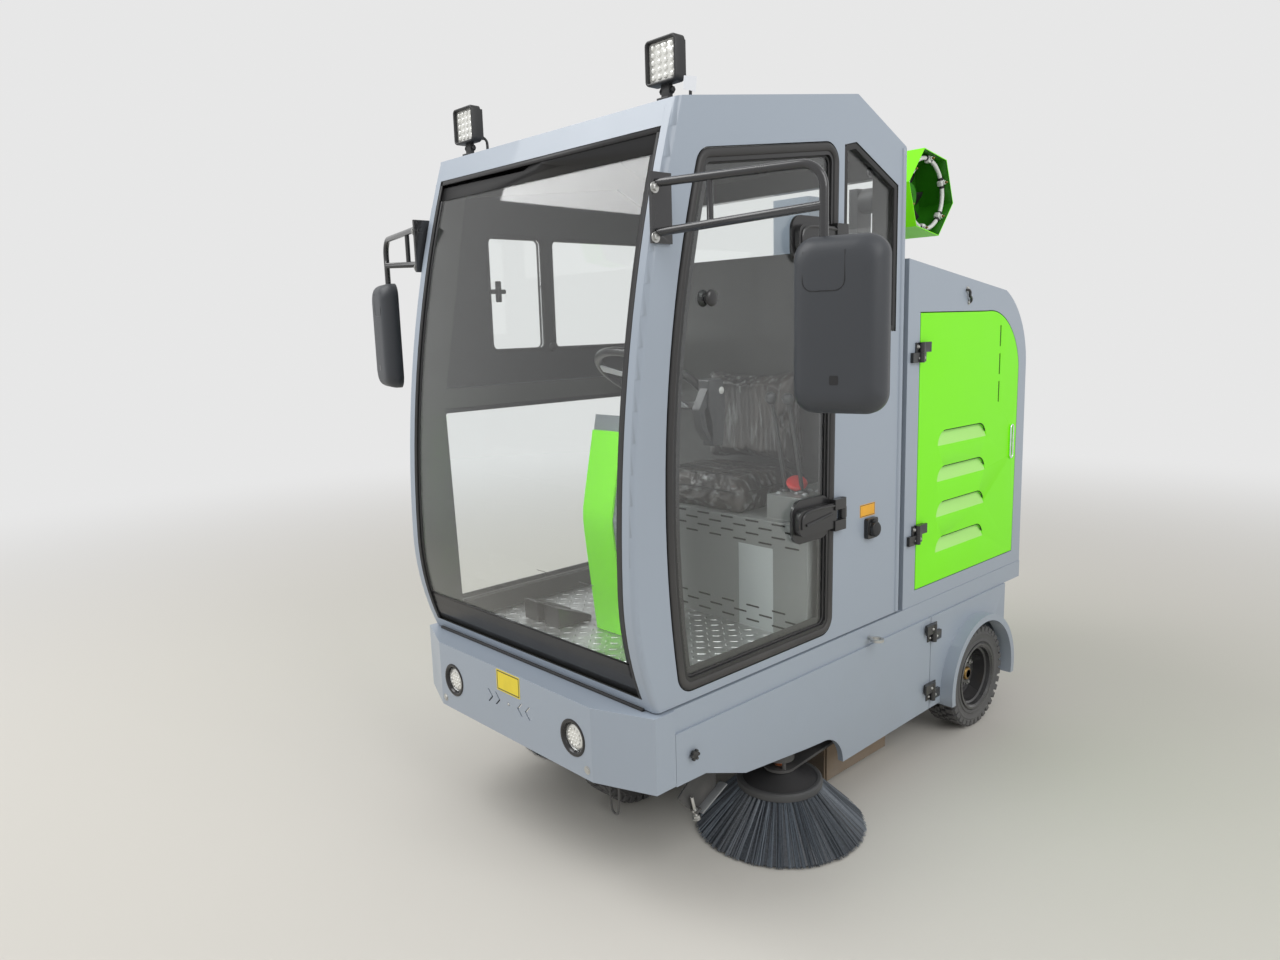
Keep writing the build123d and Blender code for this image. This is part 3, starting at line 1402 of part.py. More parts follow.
# Side brushes: a conical disc on a spindle with a flared ring of bristles. Each hangs
# under an arm that lifts about a pin behind it; the gear motor stands on the arm.
disc_radius = 120
disc_height = 140
disc_rise = 26
disc_skin = 20
disc_edge = 6
disc_crown_radius = 40
bristle_width = 60
bristle_reach = 246
bristle_low = 3
bristle_root = 44
arm_height = 170
arm_thickness = 8
spindle_radius = 12
nut_height = 12
nut_reach = 17
arm_half = 46
standoff_radius = 6
standoff_circle = 34
motor_height = 198
motor_radius = 42
motor_length = 92
lift_pivot_station = brush_station + 246
lift_pivot_height = 200
lift_pin_radius = 8
ear_radius = 20
ear_thickness = 8
ear_half_gap = 19
ear_foot = 10
bracket_half = ear_half_gap - 1
bracket_low = 12
bracket_length = 90
lift_pin_proud = 4
for side, name in ((1, "left"), (-1, "right")):
    spin_x = side * brush_x
    spin_axis = Axis((spin_x, at(brush_station), 0), (0, 0, 1))
    spin_plane = Plane((spin_x, at(brush_station), 0), x_dir=(1, 0, 0), z_dir=(0, -1, 0))
    with BuildPart() as side_brush:
        with BuildSketch(spin_plane):
            with BuildLine():
                Polyline(
                    (0, disc_height - disc_skin),
                    (disc_radius - disc_edge, disc_height - disc_skin),
                    (disc_radius, disc_height - disc_skin / 2),
                    (disc_radius - disc_edge, disc_height),
                    (disc_crown_radius, disc_height + disc_rise),
                    (spindle_radius, disc_height + disc_rise),
                    (spindle_radius, motor_height - fit_gap),
                    (0, motor_height - fit_gap),
                    close=True,
                )
            make_face()
            with BuildLine():
                Polyline(
                    (disc_radius - bristle_root, disc_height - disc_skin + 2),
                    (disc_radius - disc_edge, disc_height - disc_skin + 2),
                    (bristle_reach, bristle_low),
                    (bristle_reach - bristle_width, bristle_low),
                    close=True,
                )
            make_face()
        revolve(axis=spin_axis)
        with BuildSketch(Plane.XY.offset(arm_height + arm_thickness + 1)):
            with Locations((spin_x, at(brush_station))):
                RegularPolygon(nut_reach, 6)
        extrude(amount=nut_height)
    save(side_brush, "side_brush_" + name)
    with BuildPart() as brush_arm:
        with BuildSketch(Plane.XY.offset(arm_height)):
            with BuildLine():
                Polyline(
                    (spin_x - arm_half, at(brush_station)),
                    (spin_x + arm_half, at(brush_station)),
                    (spin_x + ear_half_gap + ear_thickness, at(lift_pivot_station)),
                    (spin_x - ear_half_gap - ear_thickness, at(lift_pivot_station)),
                    close=True,
                )
            make_face()
            with Locations((spin_x, at(brush_station))):
                Circle(arm_half)
                Circle(spindle_radius + fit_gap, mode=Mode.SUBTRACT)
        extrude(amount=arm_thickness)
        with BuildSketch(Plane.XY.offset(arm_height + arm_thickness)):
            with Locations((spin_x, at(brush_station))):
                with PolarLocations(standoff_circle, 3, start_angle=90):
                    Circle(standoff_radius)
        extrude(amount=motor_height - arm_height - arm_thickness + 1)
        with BuildSketch(Plane.XY.offset(motor_height)):
            with Locations((spin_x, at(brush_station))):
                Circle(motor_radius)
        extrude(amount=motor_length)
        for ear in (-1, 1):
            with BuildSketch(Plane.YZ.offset(spin_x + ear * (ear_half_gap + ear_thickness / 2) - ear_thickness / 2)):
                with Locations((at(lift_pivot_station), lift_pivot_height)):
                    Circle(ear_radius)
                with Locations((at(lift_pivot_station - ear_foot), (lift_pivot_height + arm_height) / 2)):
                    Rectangle(2 * ear_radius, lift_pivot_height - arm_height)
                with Locations((at(lift_pivot_station), lift_pivot_height)):
                    Circle(lift_pin_radius + fit_gap, mode=Mode.SUBTRACT)
            extrude(amount=ear_thickness)
    save(brush_arm, "side_brush_arm_" + name)

# Brackets under the frame that carry the lifting arms on a pin.
with BuildPart() as brush_brackets:
    for side in (-1, 1):
        spin_x = side * brush_x
        with BuildSketch(Plane.YZ.offset(spin_x - bracket_half)):
            with BuildLine():
                Polyline(
                    (at(lift_pivot_station - ear_radius), lift_pivot_height - bracket_low),
                    (at(lift_pivot_station + bracket_low), lift_pivot_height - bracket_low),
                    (at(lift_pivot_station + bracket_low), frame_bottom),
                    (at(lift_pivot_station - bracket_length), frame_bottom),
                    close=True,
                )
            make_face()
        extrude(amount=2 * bracket_half)
        with BuildSketch(Plane.YZ.offset(spin_x - ear_half_gap - ear_thickness - lift_pin_proud)):
            with Locations((at(lift_pivot_station), lift_pivot_height)):
                Circle(lift_pin_radius)
        extrude(amount=2 * (ear_half_gap + ear_thickness + lift_pin_proud))

with BuildPart() as chassis_frame:
    add(ladder_frame.part)
    add(brush_brackets.part)
save(chassis_frame, "chassis_frame")

# Battery: one plain block on the floor of the body. The tank above it feeds the mist.
battery_length = 560
battery_width = 760
battery_height = 270
battery_setback = 60
tank_size = (700, 440, 330)
tank_corner = 40
tank_lift = 120
tank_leg = 40
tank_leg_pitch = (600, 380)
with BuildPart() as battery:
    with BuildSketch(Plane.XY.offset(sill_top + body_wall)):
        with Locations((0, at(body_front + battery_setback + battery_length / 2))):
            Rectangle(battery_width, battery_length)
    extrude(amount=battery_height)
save(battery, "battery")

with BuildPart() as water_tank:
    with BuildSketch(Plane.XY.offset(sill_top + body_wall + battery_height + tank_lift)):
        with Locations((0, at(body_front + battery_setback + tank_size[1] / 2))):
            RectangleRounded(tank_size[0], tank_size[1], tank_corner)
    extrude(amount=tank_size[2])
    with BuildSketch(Plane.XY.offset(sill_top + body_wall + battery_height)):
        with GridLocations(tank_leg_pitch[0], tank_leg_pitch[1], 2, 2):
            with Locations((0, at(body_front + battery_setback + tank_size[1] / 2))):
                Rectangle(tank_leg, tank_leg)
    extrude(amount=tank_lift)
save(water_tank, "water_tank")

# Mist cannon on the body: a six-sided fan duct in front of its motor, on a post that
# turns on the housing. The pump stands in a box beside it.
cannon_station = 1506
cannon_height = 1291
cannon_mouth = 350
duct_radius = 143
duct_depth = 130
duct_skin = 3
duct_turn = -9.5
motor_half = 42
post_x = 78
post_thickness = 34
post_half = 42
post_head = 40
turntable_radius = 70
turntable_height = 24
housing_top = 1014
pump_x = -159
pump_width = 162
pump_length = 170
pump_top = 1325
pump_corner = 12
base_lap = 20
base_margin = 10
turntable_skin = 12
motor_lap = 50
with BuildPart() as cannon_base:
    with BuildSketch(Plane.XY.offset(up(housing_top - base_lap))):
        with Locations((post_x, at(cannon_station))):
            Circle(turntable_radius + base_margin)
    extrude(amount=base_lap + turntable_height)
    with BuildSketch(Plane.XY.offset(up(housing_top - base_lap))):
        with Locations((pump_x, at(cannon_station))):
            RectangleRounded(pump_width, pump_length, pump_corner)
    extrude(amount=pump_top - housing_top + base_lap)

with BuildPart() as body_housing:
    add(body_shell.part)
    add(cannon_base.part)
    add(rear_hinge_halves.part)
save(body_housing, "body_housing")

with BuildPart() as mist_cannon:
    with BuildSketch(Plane.YZ.offset(cannon_mouth - duct_depth)):
        with Locations((at(cannon_station), up(cannon_height))):
            RegularPolygon(duct_radius, 6, rotation=duct_turn)
    extrude(amount=duct_depth)
    with BuildSketch(Plane.YZ.offset(cannon_mouth - duct_depth + 2 * duct_skin)):
        with Locations((at(cannon_station), up(cannon_height))):
            RegularPolygon(duct_radius - duct_skin, 6, rotation=duct_turn)
    extrude(amount=duct_depth, mode=Mode.SUBTRACT)
    with BuildSketch(Plane.YZ.offset(post_x)):
        with Locations((at(cannon_station), up(cannon_height))):
            Circle(motor_half)
    extrude(amount=cannon_mouth - duct_depth + motor_lap - post_x)
    with BuildSketch(Plane.XY.offset(up(housing_top) + turntable_height + fit_gap)):
        with Locations((post_x, at(cannon_station))):
            Circle(turntable_radius)
    extrude(amount=turntable_skin)
    with BuildSketch(Plane.XY.offset(up(housing_top) + turntable_height + fit_gap)):
        with Locations((post_x, at(cannon_station))):
            Rectangle(post_thickness, 2 * post_half)
    extrude(amount=cannon_height + post_head - housing_top - turntable_height - fit_gap)
save(mist_cannon, "mist_cannon")

# Nozzle ring: a bent pipe just inside the mouth, clipped to the flats of the duct.
ring_setback = 25
ring_pipe = 7
ring_radius = 111
clip_width = 14
duct_flat = (duct_radius - duct_skin) * cos(radians(30))
with BuildPart() as nozzle_ring:
    with BuildSketch(Plane.XY.offset(up(cannon_height))):
        with Locations((cannon_mouth - ring_setback, at(cannon_station) + ring_radius)):
            Circle(ring_pipe)
    revolve(axis=Axis((0, at(cannon_station), up(cannon_height)), (1, 0, 0)))
    with BuildSketch(Plane.YZ.offset(cannon_mouth - ring_setback - ring_pipe + 1)):
        with Locations((at(cannon_station), up(cannon_height))):
            with PolarLocations((ring_radius + duct_flat - fit_gap) / 2, 6, start_angle=duct_turn + 30):
                Rectangle(duct_flat - fit_gap - ring_radius, clip_width)
    extrude(amount=2 * ring_pipe - 2)
save(nozzle_ring, "nozzle_ring")

# Eye bolts on the sill beams for lashing the machine down.
eye_station = 947
eye_radius = 12
eye_ring = 8
eye_thickness = 8
eye_shank = 6
eye_reach = 30
eye_height = sill_top - 37
eye_lap = 2
with BuildPart() as lashing_eyes:
    for side in (-1, 1):
        root_x = side * (half_width - skirt_skin)
        with BuildSketch(Plane.XY.offset(eye_height - eye_thickness / 2)):
            with Locations((root_x + side * eye_reach, at(eye_station))):
                Circle(eye_radius + eye_ring)
                Circle(eye_radius, mode=Mode.SUBTRACT)
        extrude(amount=eye_thickness)
        with BuildSketch(Plane.YZ.offset(root_x)):
            with Locations((at(eye_station), eye_height)):
                Circle(eye_shank)
        extrude(amount=side * (eye_reach - eye_radius - eye_lap))
save(lashing_eyes, "lashing_eyes")

# Charging socket on the rear panel of the cab's left side.
socket_station = 949
socket_height = 296
socket_size = (52, 60, 14)
socket_corner = 6
socket_cap_radius = 20
socket_cap_length = 12
with BuildPart() as charging_socket:
    with BuildSketch(Plane.YZ.offset(cab_half)):
        with Locations((at(socket_station), up(socket_height))):
            RectangleRounded(socket_size[0], socket_size[1], socket_corner)
    extrude(amount=socket_size[2])
    with BuildSketch(Plane.YZ.offset(cab_half + socket_size[2])):
        with Locations((at(socket_station), up(socket_height))):
            Circle(socket_cap_radius)
    extrude(amount=socket_cap_length)
save(charging_socket, "charging_socket")
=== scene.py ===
import random
from math import atan2, cos, pi, radians, sin

import bmesh
import bpy
from mathutils import Matrix, Vector, bvhtree, noise


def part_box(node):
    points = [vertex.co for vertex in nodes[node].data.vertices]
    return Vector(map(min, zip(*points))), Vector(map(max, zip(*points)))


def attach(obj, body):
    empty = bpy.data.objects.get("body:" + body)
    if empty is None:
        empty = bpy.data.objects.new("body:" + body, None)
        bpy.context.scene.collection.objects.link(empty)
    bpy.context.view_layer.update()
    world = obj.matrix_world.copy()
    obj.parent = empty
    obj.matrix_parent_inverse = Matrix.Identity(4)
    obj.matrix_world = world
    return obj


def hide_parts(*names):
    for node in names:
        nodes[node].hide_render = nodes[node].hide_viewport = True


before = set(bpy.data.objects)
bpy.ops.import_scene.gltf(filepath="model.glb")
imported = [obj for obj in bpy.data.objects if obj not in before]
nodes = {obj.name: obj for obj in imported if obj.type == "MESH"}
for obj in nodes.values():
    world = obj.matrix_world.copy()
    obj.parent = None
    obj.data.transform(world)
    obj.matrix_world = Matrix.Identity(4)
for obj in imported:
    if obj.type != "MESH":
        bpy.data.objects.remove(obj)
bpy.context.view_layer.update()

# The studio: a plain pale floor that fades into a pale background, an even sky and
# two large soft lamps, and the camera at the photograph's place and angle.
scene = bpy.context.scene
scene.view_settings.view_transform = "Standard"
floor_colour, floor_radius = (0.62, 0.60, 0.555), 60
background_colour, fade_start, fade_end = (0.80, 0.80, 0.80), 1.8, 7.5
sky_colour, sky_strength = (1.0, 1.0, 1.0), 0.62
lamps = (("key_lamp", (-2.6, -3.4, 5.6), 4.0, 215), ("side_lamp", (5.0, -0.6, 4.2), 3.5, 120))
lamps_aim = Vector((0, 0, 0.9))
camera_place, camera_lens = (1.9268, -2.2696, 1.4134), 25.565
camera_heading, camera_dip, camera_lean = 47.071, 9.646, -1.673


def place_mesh(name, bm):
    """A new object at the origin that holds the finished mesh."""
    mesh = bpy.data.meshes.new(name)
    bm.to_mesh(mesh)
    bm.free()
    made = bpy.data.objects.new(name, mesh)
    scene.collection.objects.link(made)
    return made


def add_node(tree, kind, values=(), **settings):
    """A new shader node with its settings made and plain values on its sockets."""
    made = tree.nodes.new("ShaderNode" + kind)
    for name, value in settings.items():
        setattr(made, name, value)
    for socket, value in dict(values).items():
        made.inputs[socket].default_value = value
    return made


def wire(tree, *pairs):
    """Links from one socket to the next, in pairs."""
    for start, end in pairs:
        tree.links.new(start, end)


def start_finish(name, colour, roughness, sockets=()):
    """A new material with the plain values of its shader set."""
    finish = bpy.data.materials.new(name)
    finish.use_nodes = True
    shader = finish.node_tree.nodes["Principled BSDF"]
    shader.inputs["Base Color"].default_value = (*colour, 1)
    shader.inputs["Roughness"].default_value = roughness
    for socket, value in dict(sockets).items():
        shader.inputs[socket].default_value = value
    return finish, finish.node_tree, shader


camera_data = bpy.data.cameras.new("camera")
camera_data.lens = camera_lens
camera = bpy.data.objects.new("camera", camera_data)
camera.matrix_world = (
    Matrix.Translation(camera_place)
    @ Matrix.Rotation(radians(camera_heading), 4, "Z")
    @ Matrix.Rotation(radians(90 - camera_dip), 4, "X")
    @ Matrix.Rotation(radians(camera_lean), 4, "Z")
)
scene.collection.objects.link(camera)
scene.camera = camera

bm = bmesh.new()
bmesh.ops.create_circle(bm, cap_ends=True, segments=96, radius=floor_radius)
floor = place_mesh("studio_floor", bm)
finish, tree, shader = start_finish("studio_floor", floor_colour, 0.85, {"Specular IOR Level": 0.2})
far_off = add_node(tree, "Emission", {"Color": (*background_colour, 1)})
reach = add_node(tree, "VectorMath", operation="LENGTH")
fade = add_node(
    tree, "MapRange", {"From Min": fade_start, "From Max": fade_end},
    interpolation_type="SMOOTHSTEP",
)
blend = add_node(tree, "MixShader")
wire(
    tree,
    (add_node(tree, "TexCoord").outputs["Object"], reach.inputs[0]),
    (reach.outputs["Value"], fade.inputs["Value"]),
    (fade.outputs["Result"], blend.inputs[0]),
    (shader.outputs[0], blend.inputs[1]),
    (far_off.outputs[0], blend.inputs[2]),
    (blend.outputs[0], tree.nodes["Material Output"].inputs["Surface"]),
)
floor.data.materials.append(finish)

world = bpy.data.worlds.new("sky")
scene.world = world
world.use_nodes = True
sky = world.node_tree
light = sky.nodes["Background"]
light.inputs["Color"].default_value = (*sky_colour, 1)
light.inputs["Strength"].default_value = sky_strength
seen = add_node(sky, "Background", {"Color": (*background_colour, 1)})
rays = add_node(sky, "LightPath").outputs
plain_view = add_node(sky, "Math", operation="MAXIMUM")
any_view = add_node(sky, "Math", operation="MAXIMUM")
pick = add_node(sky, "MixShader")
wire(
    sky,
    (rays["Is Camera Ray"], plain_view.inputs[0]),
    (rays["Is Glossy Ray"], plain_view.inputs[1]),
    (plain_view.outputs[0], any_view.inputs[0]),
    (rays["Is Transmission Ray"], any_view.inputs[1]),
    (any_view.outputs[0], pick.inputs[0]),
    (light.outputs[0], pick.inputs[1]),
    (seen.outputs[0], pick.inputs[2]),
    (pick.outputs[0], sky.nodes["World Output"].inputs["Surface"]),
)

for name, start, size, power in lamps:
    lamp_data = bpy.data.lights.new(name, "AREA")
    lamp_data.size = size
    lamp_data.energy = power
    lamp = bpy.data.objects.new(name, lamp_data)
    lamp.location = start
    lamp.rotation_mode = "QUATERNION"
    lamp.rotation_quaternion = (lamps_aim - Vector(start)).to_track_quat("-Z", "Y")
    scene.collection.objects.link(lamp)

# The welded frame, the rear axle and the fork: box tube and plate, sprayed the same
# blue grey as the cab and dusty from the road. Other lengths are measured from them.
nose_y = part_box("front_bumper")[0].y
sill_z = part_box("front_bumper")[1].z
blue_grey, road_dust = (0.335, 0.385, 0.450), (0.30, 0.285, 0.265)


def at(station):
    """Y of a station in millimetres behind the bumper's face."""
    return nose_y + station / 1000


def up(height):
    """Z of a height in millimetres above the top of the frame."""
    return sill_z + height / 1000


def grain(tree, scale, detail=2.0, stretch=(1, 1, 1)):
    """Noise that lies still on the piece, stretched along its axes."""
    turn = add_node(tree, "Mapping", {"Scale": stretch})
    grains = add_node(tree, "TexNoise", {"Scale": scale, "Detail": detail})
    wire(tree, (add_node(tree, "TexCoord").outputs["Object"], turn.inputs["Vector"]),
         (turn.outputs["Vector"], grains.inputs["Vector"]))
    return grains.outputs["Fac"]


def own_axes(tree):
    """The three coordinates of a place on the piece."""
    split = add_node(tree, "SeparateXYZ")
    wire(tree, (add_node(tree, "TexCoord").outputs["Object"], split.inputs["Vector"]))
    return split.outputs


def between(tree, value, low, high, to_low=0.0, to_high=1.0):
    """The value mapped from one span to another and held at its ends."""
    ends = {"From Min": low, "From Max": high, "To Min": to_low, "To Max": to_high}
    span = add_node(tree, "MapRange", ends)
    wire(tree, (value, span.inputs["Value"]))
    return span.outputs["Result"]


def joined(tree, how, one, other):
    """Two values added, multiplied and so on."""
    sum_of = add_node(tree, "Math", operation=how)
    wire(tree, (one, sum_of.inputs[0]), (other, sum_of.inputs[1]))
    return sum_of.outputs[0]


def tint(tree, share, base, other):
    """Colour between two others. Each is a colour or a socket that carries one."""
    mix = add_node(tree, "Mix", data_type="RGBA")
    wire(tree, (share, mix.inputs["Factor"]))
    for letter, colour in (("A", base), ("B", other)):
        socket = [s for s in mix.inputs if s.name == letter and s.type == "RGBA"][0]
        if isinstance(colour, tuple):
            socket.default_value = (*colour, 1)
        else:
            wire(tree, (colour, socket))
    return [s for s in mix.outputs if s.type == "RGBA"][0]


def darker(colour, share):
    """A colour with less light in it."""
    return tuple(share * c for c in colour)


def relief(tree, shader, heights, strength, distance, socket="Normal"):
    """Small bumps from a list of height sockets, each on top of the last."""
    before = None
    for height in heights:
        bump = add_node(tree, "Bump", {"Strength": strength, "Distance": distance})
        wire(tree, (height, bump.inputs["Height"]))
        if before:
            wire(tree, (before, bump.inputs["Normal"]))
        before = bump.outputs["Normal"]
    wire(tree, (before, shader.inputs[socket]))


def dusted(tree, shader, colour, dust_top, most):
    """Colour with a little unevenness and road dust that thins out upwards."""
    low_down = between(tree, own_axes(tree)["Z"], 0.0, dust_top, most, 0.0)
    patches = between(tree, grain(tree, 9, 6), 0.32, 0.68, 0.25, 1.0)
    dust = joined(tree, "MULTIPLY", low_down, patches)
    shade = between(tree, grain(tree, 2.2, 3), 0.3, 0.7, 0.0, 0.22)
    uneven = tint(tree, shade, colour, darker(colour, 0.94))
    wire(tree, (tint(tree, dust, uneven, road_dust), shader.inputs["Base Color"]))
    return dust


def sprayed(name, colour, gloss, peel=0.05, dust_top=0.7, most=0.35, sockets=()):
    """Sprayed or moulded skin: fine orange peel, uneven gloss, road dust low down."""
    finish, tree, shader = start_finish(name, colour, gloss, sockets)
    dust = dusted(tree, shader, colour, dust_top, most)
    wiped = between(tree, grain(tree, 6, 3), 0.3, 0.7, gloss - 0.02, gloss + 0.06)
    dull = between(tree, dust, 0.0, 0.5, 0.0, 0.35)
    wire(tree, (joined(tree, "ADD", wiped, dull), shader.inputs["Roughness"]))
    relief(tree, shader, [grain(tree, 520, 2)], peel, 0.0015)
    return finish


def dress(name, finish):
    """Give a node of the model its finish."""
    nodes[name].data.materials.clear()
    nodes[name].data.materials.append(finish)


cab_grey = sprayed("cab_grey", blue_grey, 0.32, 0.02, 0.6, 0.16, {"Coat Weight": 0.2})
frame_black = sprayed("frame_black", (0.030, 0.031, 0.033), 0.42, 0.12, 0.6, 0.45)
dress("chassis_frame", cab_grey)
dress("rear_axle", frame_black)
dress("steering_fork", frame_black)

# Wheels: solid black tyres with square lugs on both shoulders, pressed on black steel
# rims with a deep dish. Five zinc nuts hold each rim, a greasy brass cap the bearing.
tyre_radius, tyre_half, ground = 178, 57, -520
lug_count, lug_depth, lug_turn = 36, 9, pi / 36
bead_radius, flange_radius = 102, 117
nut_count, nut_circle, nut_across = 5, 60, 19
wheels = (
    ("front", 0, 440, 1, "front_wheel", 0),
    ("rear_left", 463, 1595, 1, "rear_wheel_left", -14),
    ("rear_right", -463, 1595, -1, "rear_wheel_right", -14),
)


def facing(spot, out, along):
    """Place in millimetres: its own Z points out and its own X lies along."""
    z = Vector(out).normalized()
    x = (Vector(along) - z * z.dot(Vector(along))).normalized()
    turn = Matrix((x, z.cross(x), z)).transposed().to_4x4()
    return Matrix.Translation(spot) @ turn @ Matrix.Scale(0.001, 4)


def spot(x, station, height):
    """Point at a sideways distance, a station and a height above the frame."""
    return Vector((x / 1000, at(station), up(height)))


def side_face(x, station=0, height=0, side=1):
    """Place on a face that looks sideways: along, up and out on the left side."""
    return facing(spot(x, station, height), (side, 0, 0), (0, 1, 0))


def moved(place, x=0, y=0, z=0):
    """The place shifted along its own axes."""
    return place @ Matrix.Translation((x, y, z))


def spun(place, angle, axis="Z"):
    """The place turned about one of its own axes."""
    return place @ Matrix.Rotation(angle, 4, axis)


def mirrored(half):
    """A closed profile from one half: there and back on the other side."""
    return half + [(r, -h) for r, h in reversed(half)] + [half[0]]


def newer(bm, before):
    """Vertices that were added to the mesh since the list before."""
    return [v for v in bm.verts if v not in before]


def turned(bm, place, profile, steps=48):
    """A turned shape: a profile of (radius, height) spun about the place's own Z."""
    before = set(bm.verts)
    points = [bm.verts.new(place @ Vector((radius, 0, height))) for radius, height in profile]
    edges = [bm.edges.new(pair) for pair in zip(points, points[1:])]
    bmesh.ops.spin(
        bm, geom=points + edges, cent=place.translation, axis=place.col[2].xyz.normalized(),
        angle=2 * pi, steps=steps, use_merge=True, use_duplicate=False,
    )
    return newer(bm, before)


def soften(bm, edges, radius, steps=2):
    """Round some edges of a mesh by a radius in millimetres."""
    bmesh.ops.bevel(
        bm, geom=list(edges), offset=radius / 1000, offset_type="OFFSET", segments=steps,
        profile=0.5, affect="EDGES", clamp_overlap=True, material=-1,
    )


def block(bm, place, low, high, radius=0.0, steps=2):
    """A box between two corners of the place, in millimetres, its edges rounded."""
    before = set(bm.verts)
    made = bmesh.ops.create_cube(bm, size=1)["verts"]
    span = Vector(high) - Vector(low)
    bmesh.ops.scale(bm, verts=made, vec=span)
    bmesh.ops.translate(bm, verts=made, vec=Vector(low) + span / 2)
    bmesh.ops.transform(bm, matrix=place, verts=made)
    if radius:
        soften(bm, {edge for v in made for edge in v.link_edges}, radius, steps)
    return newer(bm, before)


def rod(bm, place, radius, height, end_radius=None, sides=20, soft=0.0):
    """A round bar that stands on the place, tapered if it has an end radius."""
    before = set(bm.verts)
    tip = radius if end_radius is None else end_radius
    made = bmesh.ops.create_cone(
        bm, cap_ends=True, segments=sides, radius1=radius, radius2=tip, depth=height,
        matrix=moved(place, z=height / 2),
    )["verts"]
    if soft:
        ends = {edge for v in made for edge in v.link_edges if len(edge.link_faces) == 2
                and any(len(face.verts) == sides for face in edge.link_faces)}
        soften(bm, ends, soft)
    return newer(bm, before)


def bolt(bm, place, across, height):
    """A hexagon head on a washer."""
    rod(bm, place, across * 0.78, height * 0.22, sides=16)
    rod(bm, place, across * 0.577, height, sides=6, soft=across * 0.06)


def finished(name, bm, finish, body, sharp=35, stands_for=()):
    """Close a mesh and make it a piece: smooth but for hard edges, on its body."""
    bmesh.ops.remove_doubles(bm, verts=bm.verts, dist=2e-6)
    bmesh.ops.recalc_face_normals(bm, faces=bm.faces)
    made = place_mesh(name, bm)
    made.data.shade_smooth()
    made.data.set_sharp_from_angle(angle=radians(sharp))
    made.data.materials.append(finish)
    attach(made, body)
    if stands_for:
        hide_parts(*stands_for)
    return made


def moulded(name, colour, gloss, speck=900, depth=0.10, dust_top=0.5, most=0.4, sockets=()):
    """Moulded rubber or plastic: a fine even grain, dusty low down."""
    finish, tree, shader = start_finish(name, colour, gloss, sockets)
    dust = dusted(tree, shader, colour, dust_top, most)
    dull = between(tree, dust, 0.0, 0.5, gloss, min(1.0, gloss + 0.3))
    wire(tree, (dull, shader.inputs["Roughness"]))
    relief(tree, shader, [grain(tree, speck, 2), grain(tree, 90, 4)], depth, 0.001)
    return finish


def bare_metal(name, colour, gloss):
    """Bare or plated metal with fine scratches and dull patches."""
    finish, tree, shader = start_finish(name, colour, gloss, {"Metallic": 1.0})
    patches = between(tree, grain(tree, 35, 5), 0.35, 0.7, 0.0, 0.6)
    fine = grain(tree, 420, 3)
    wire(tree, (tint(tree, patches, colour, darker(colour, 0.6)), shader.inputs["Base Color"]),
         (between(tree, fine, 0.3, 0.7, gloss, gloss + 0.22), shader.inputs["Roughness"]))
    relief(tree, shader, [fine], 0.06, 0.0006)
    return finish


tyre_black = moulded("tyre_black", (0.085, 0.085, 0.086), 0.60, 700, 0.16, 0.36, 0.16)
rim_black = sprayed(
    "rim_black", (0.030, 0.030, 0.032), 0.24, 0.04, 0.30, 0.10, {"Coat Weight": 0.4})
zinc = bare_metal("zinc", (0.62, 0.62, 0.60), 0.28)
greasy_brass = bare_metal("greasy_brass", (0.42, 0.27, 0.10), 0.34)
side_wall = [
    (bead_radius, tyre_half - 6), (flange_radius + 2, tyre_half - 6),
    (flange_radius + 7, tyre_half - 1), (flange_radius + 13, tyre_half - 1),
    (flange_radius + 16, tyre_half - 4), (147, tyre_half - 3), (150, tyre_half - 1),
    (tyre_radius - 20, tyre_half - 3), (tyre_radius - lug_depth, tyre_half - 12),
    (tyre_radius - lug_depth, 16), (tyre_radius - lug_depth - 2, 14),
]
lug_foot = tyre_radius - lug_depth - 3
rim_lip = [
    (flange_radius, 53), (flange_radius, 55), (flange_radius - 2, 57), (flange_radius - 8, 56),
]
rim_back = [
    (93, -20), (bead_radius - 4, -44), (bead_radius, -50), (flange_radius - 8, -56),
    (flange_radius - 2, -57), (flange_radius, -55), (flange_radius, -53), (bead_radius, -47),
    (bead_radius, 47), (flange_radius, 53),
]
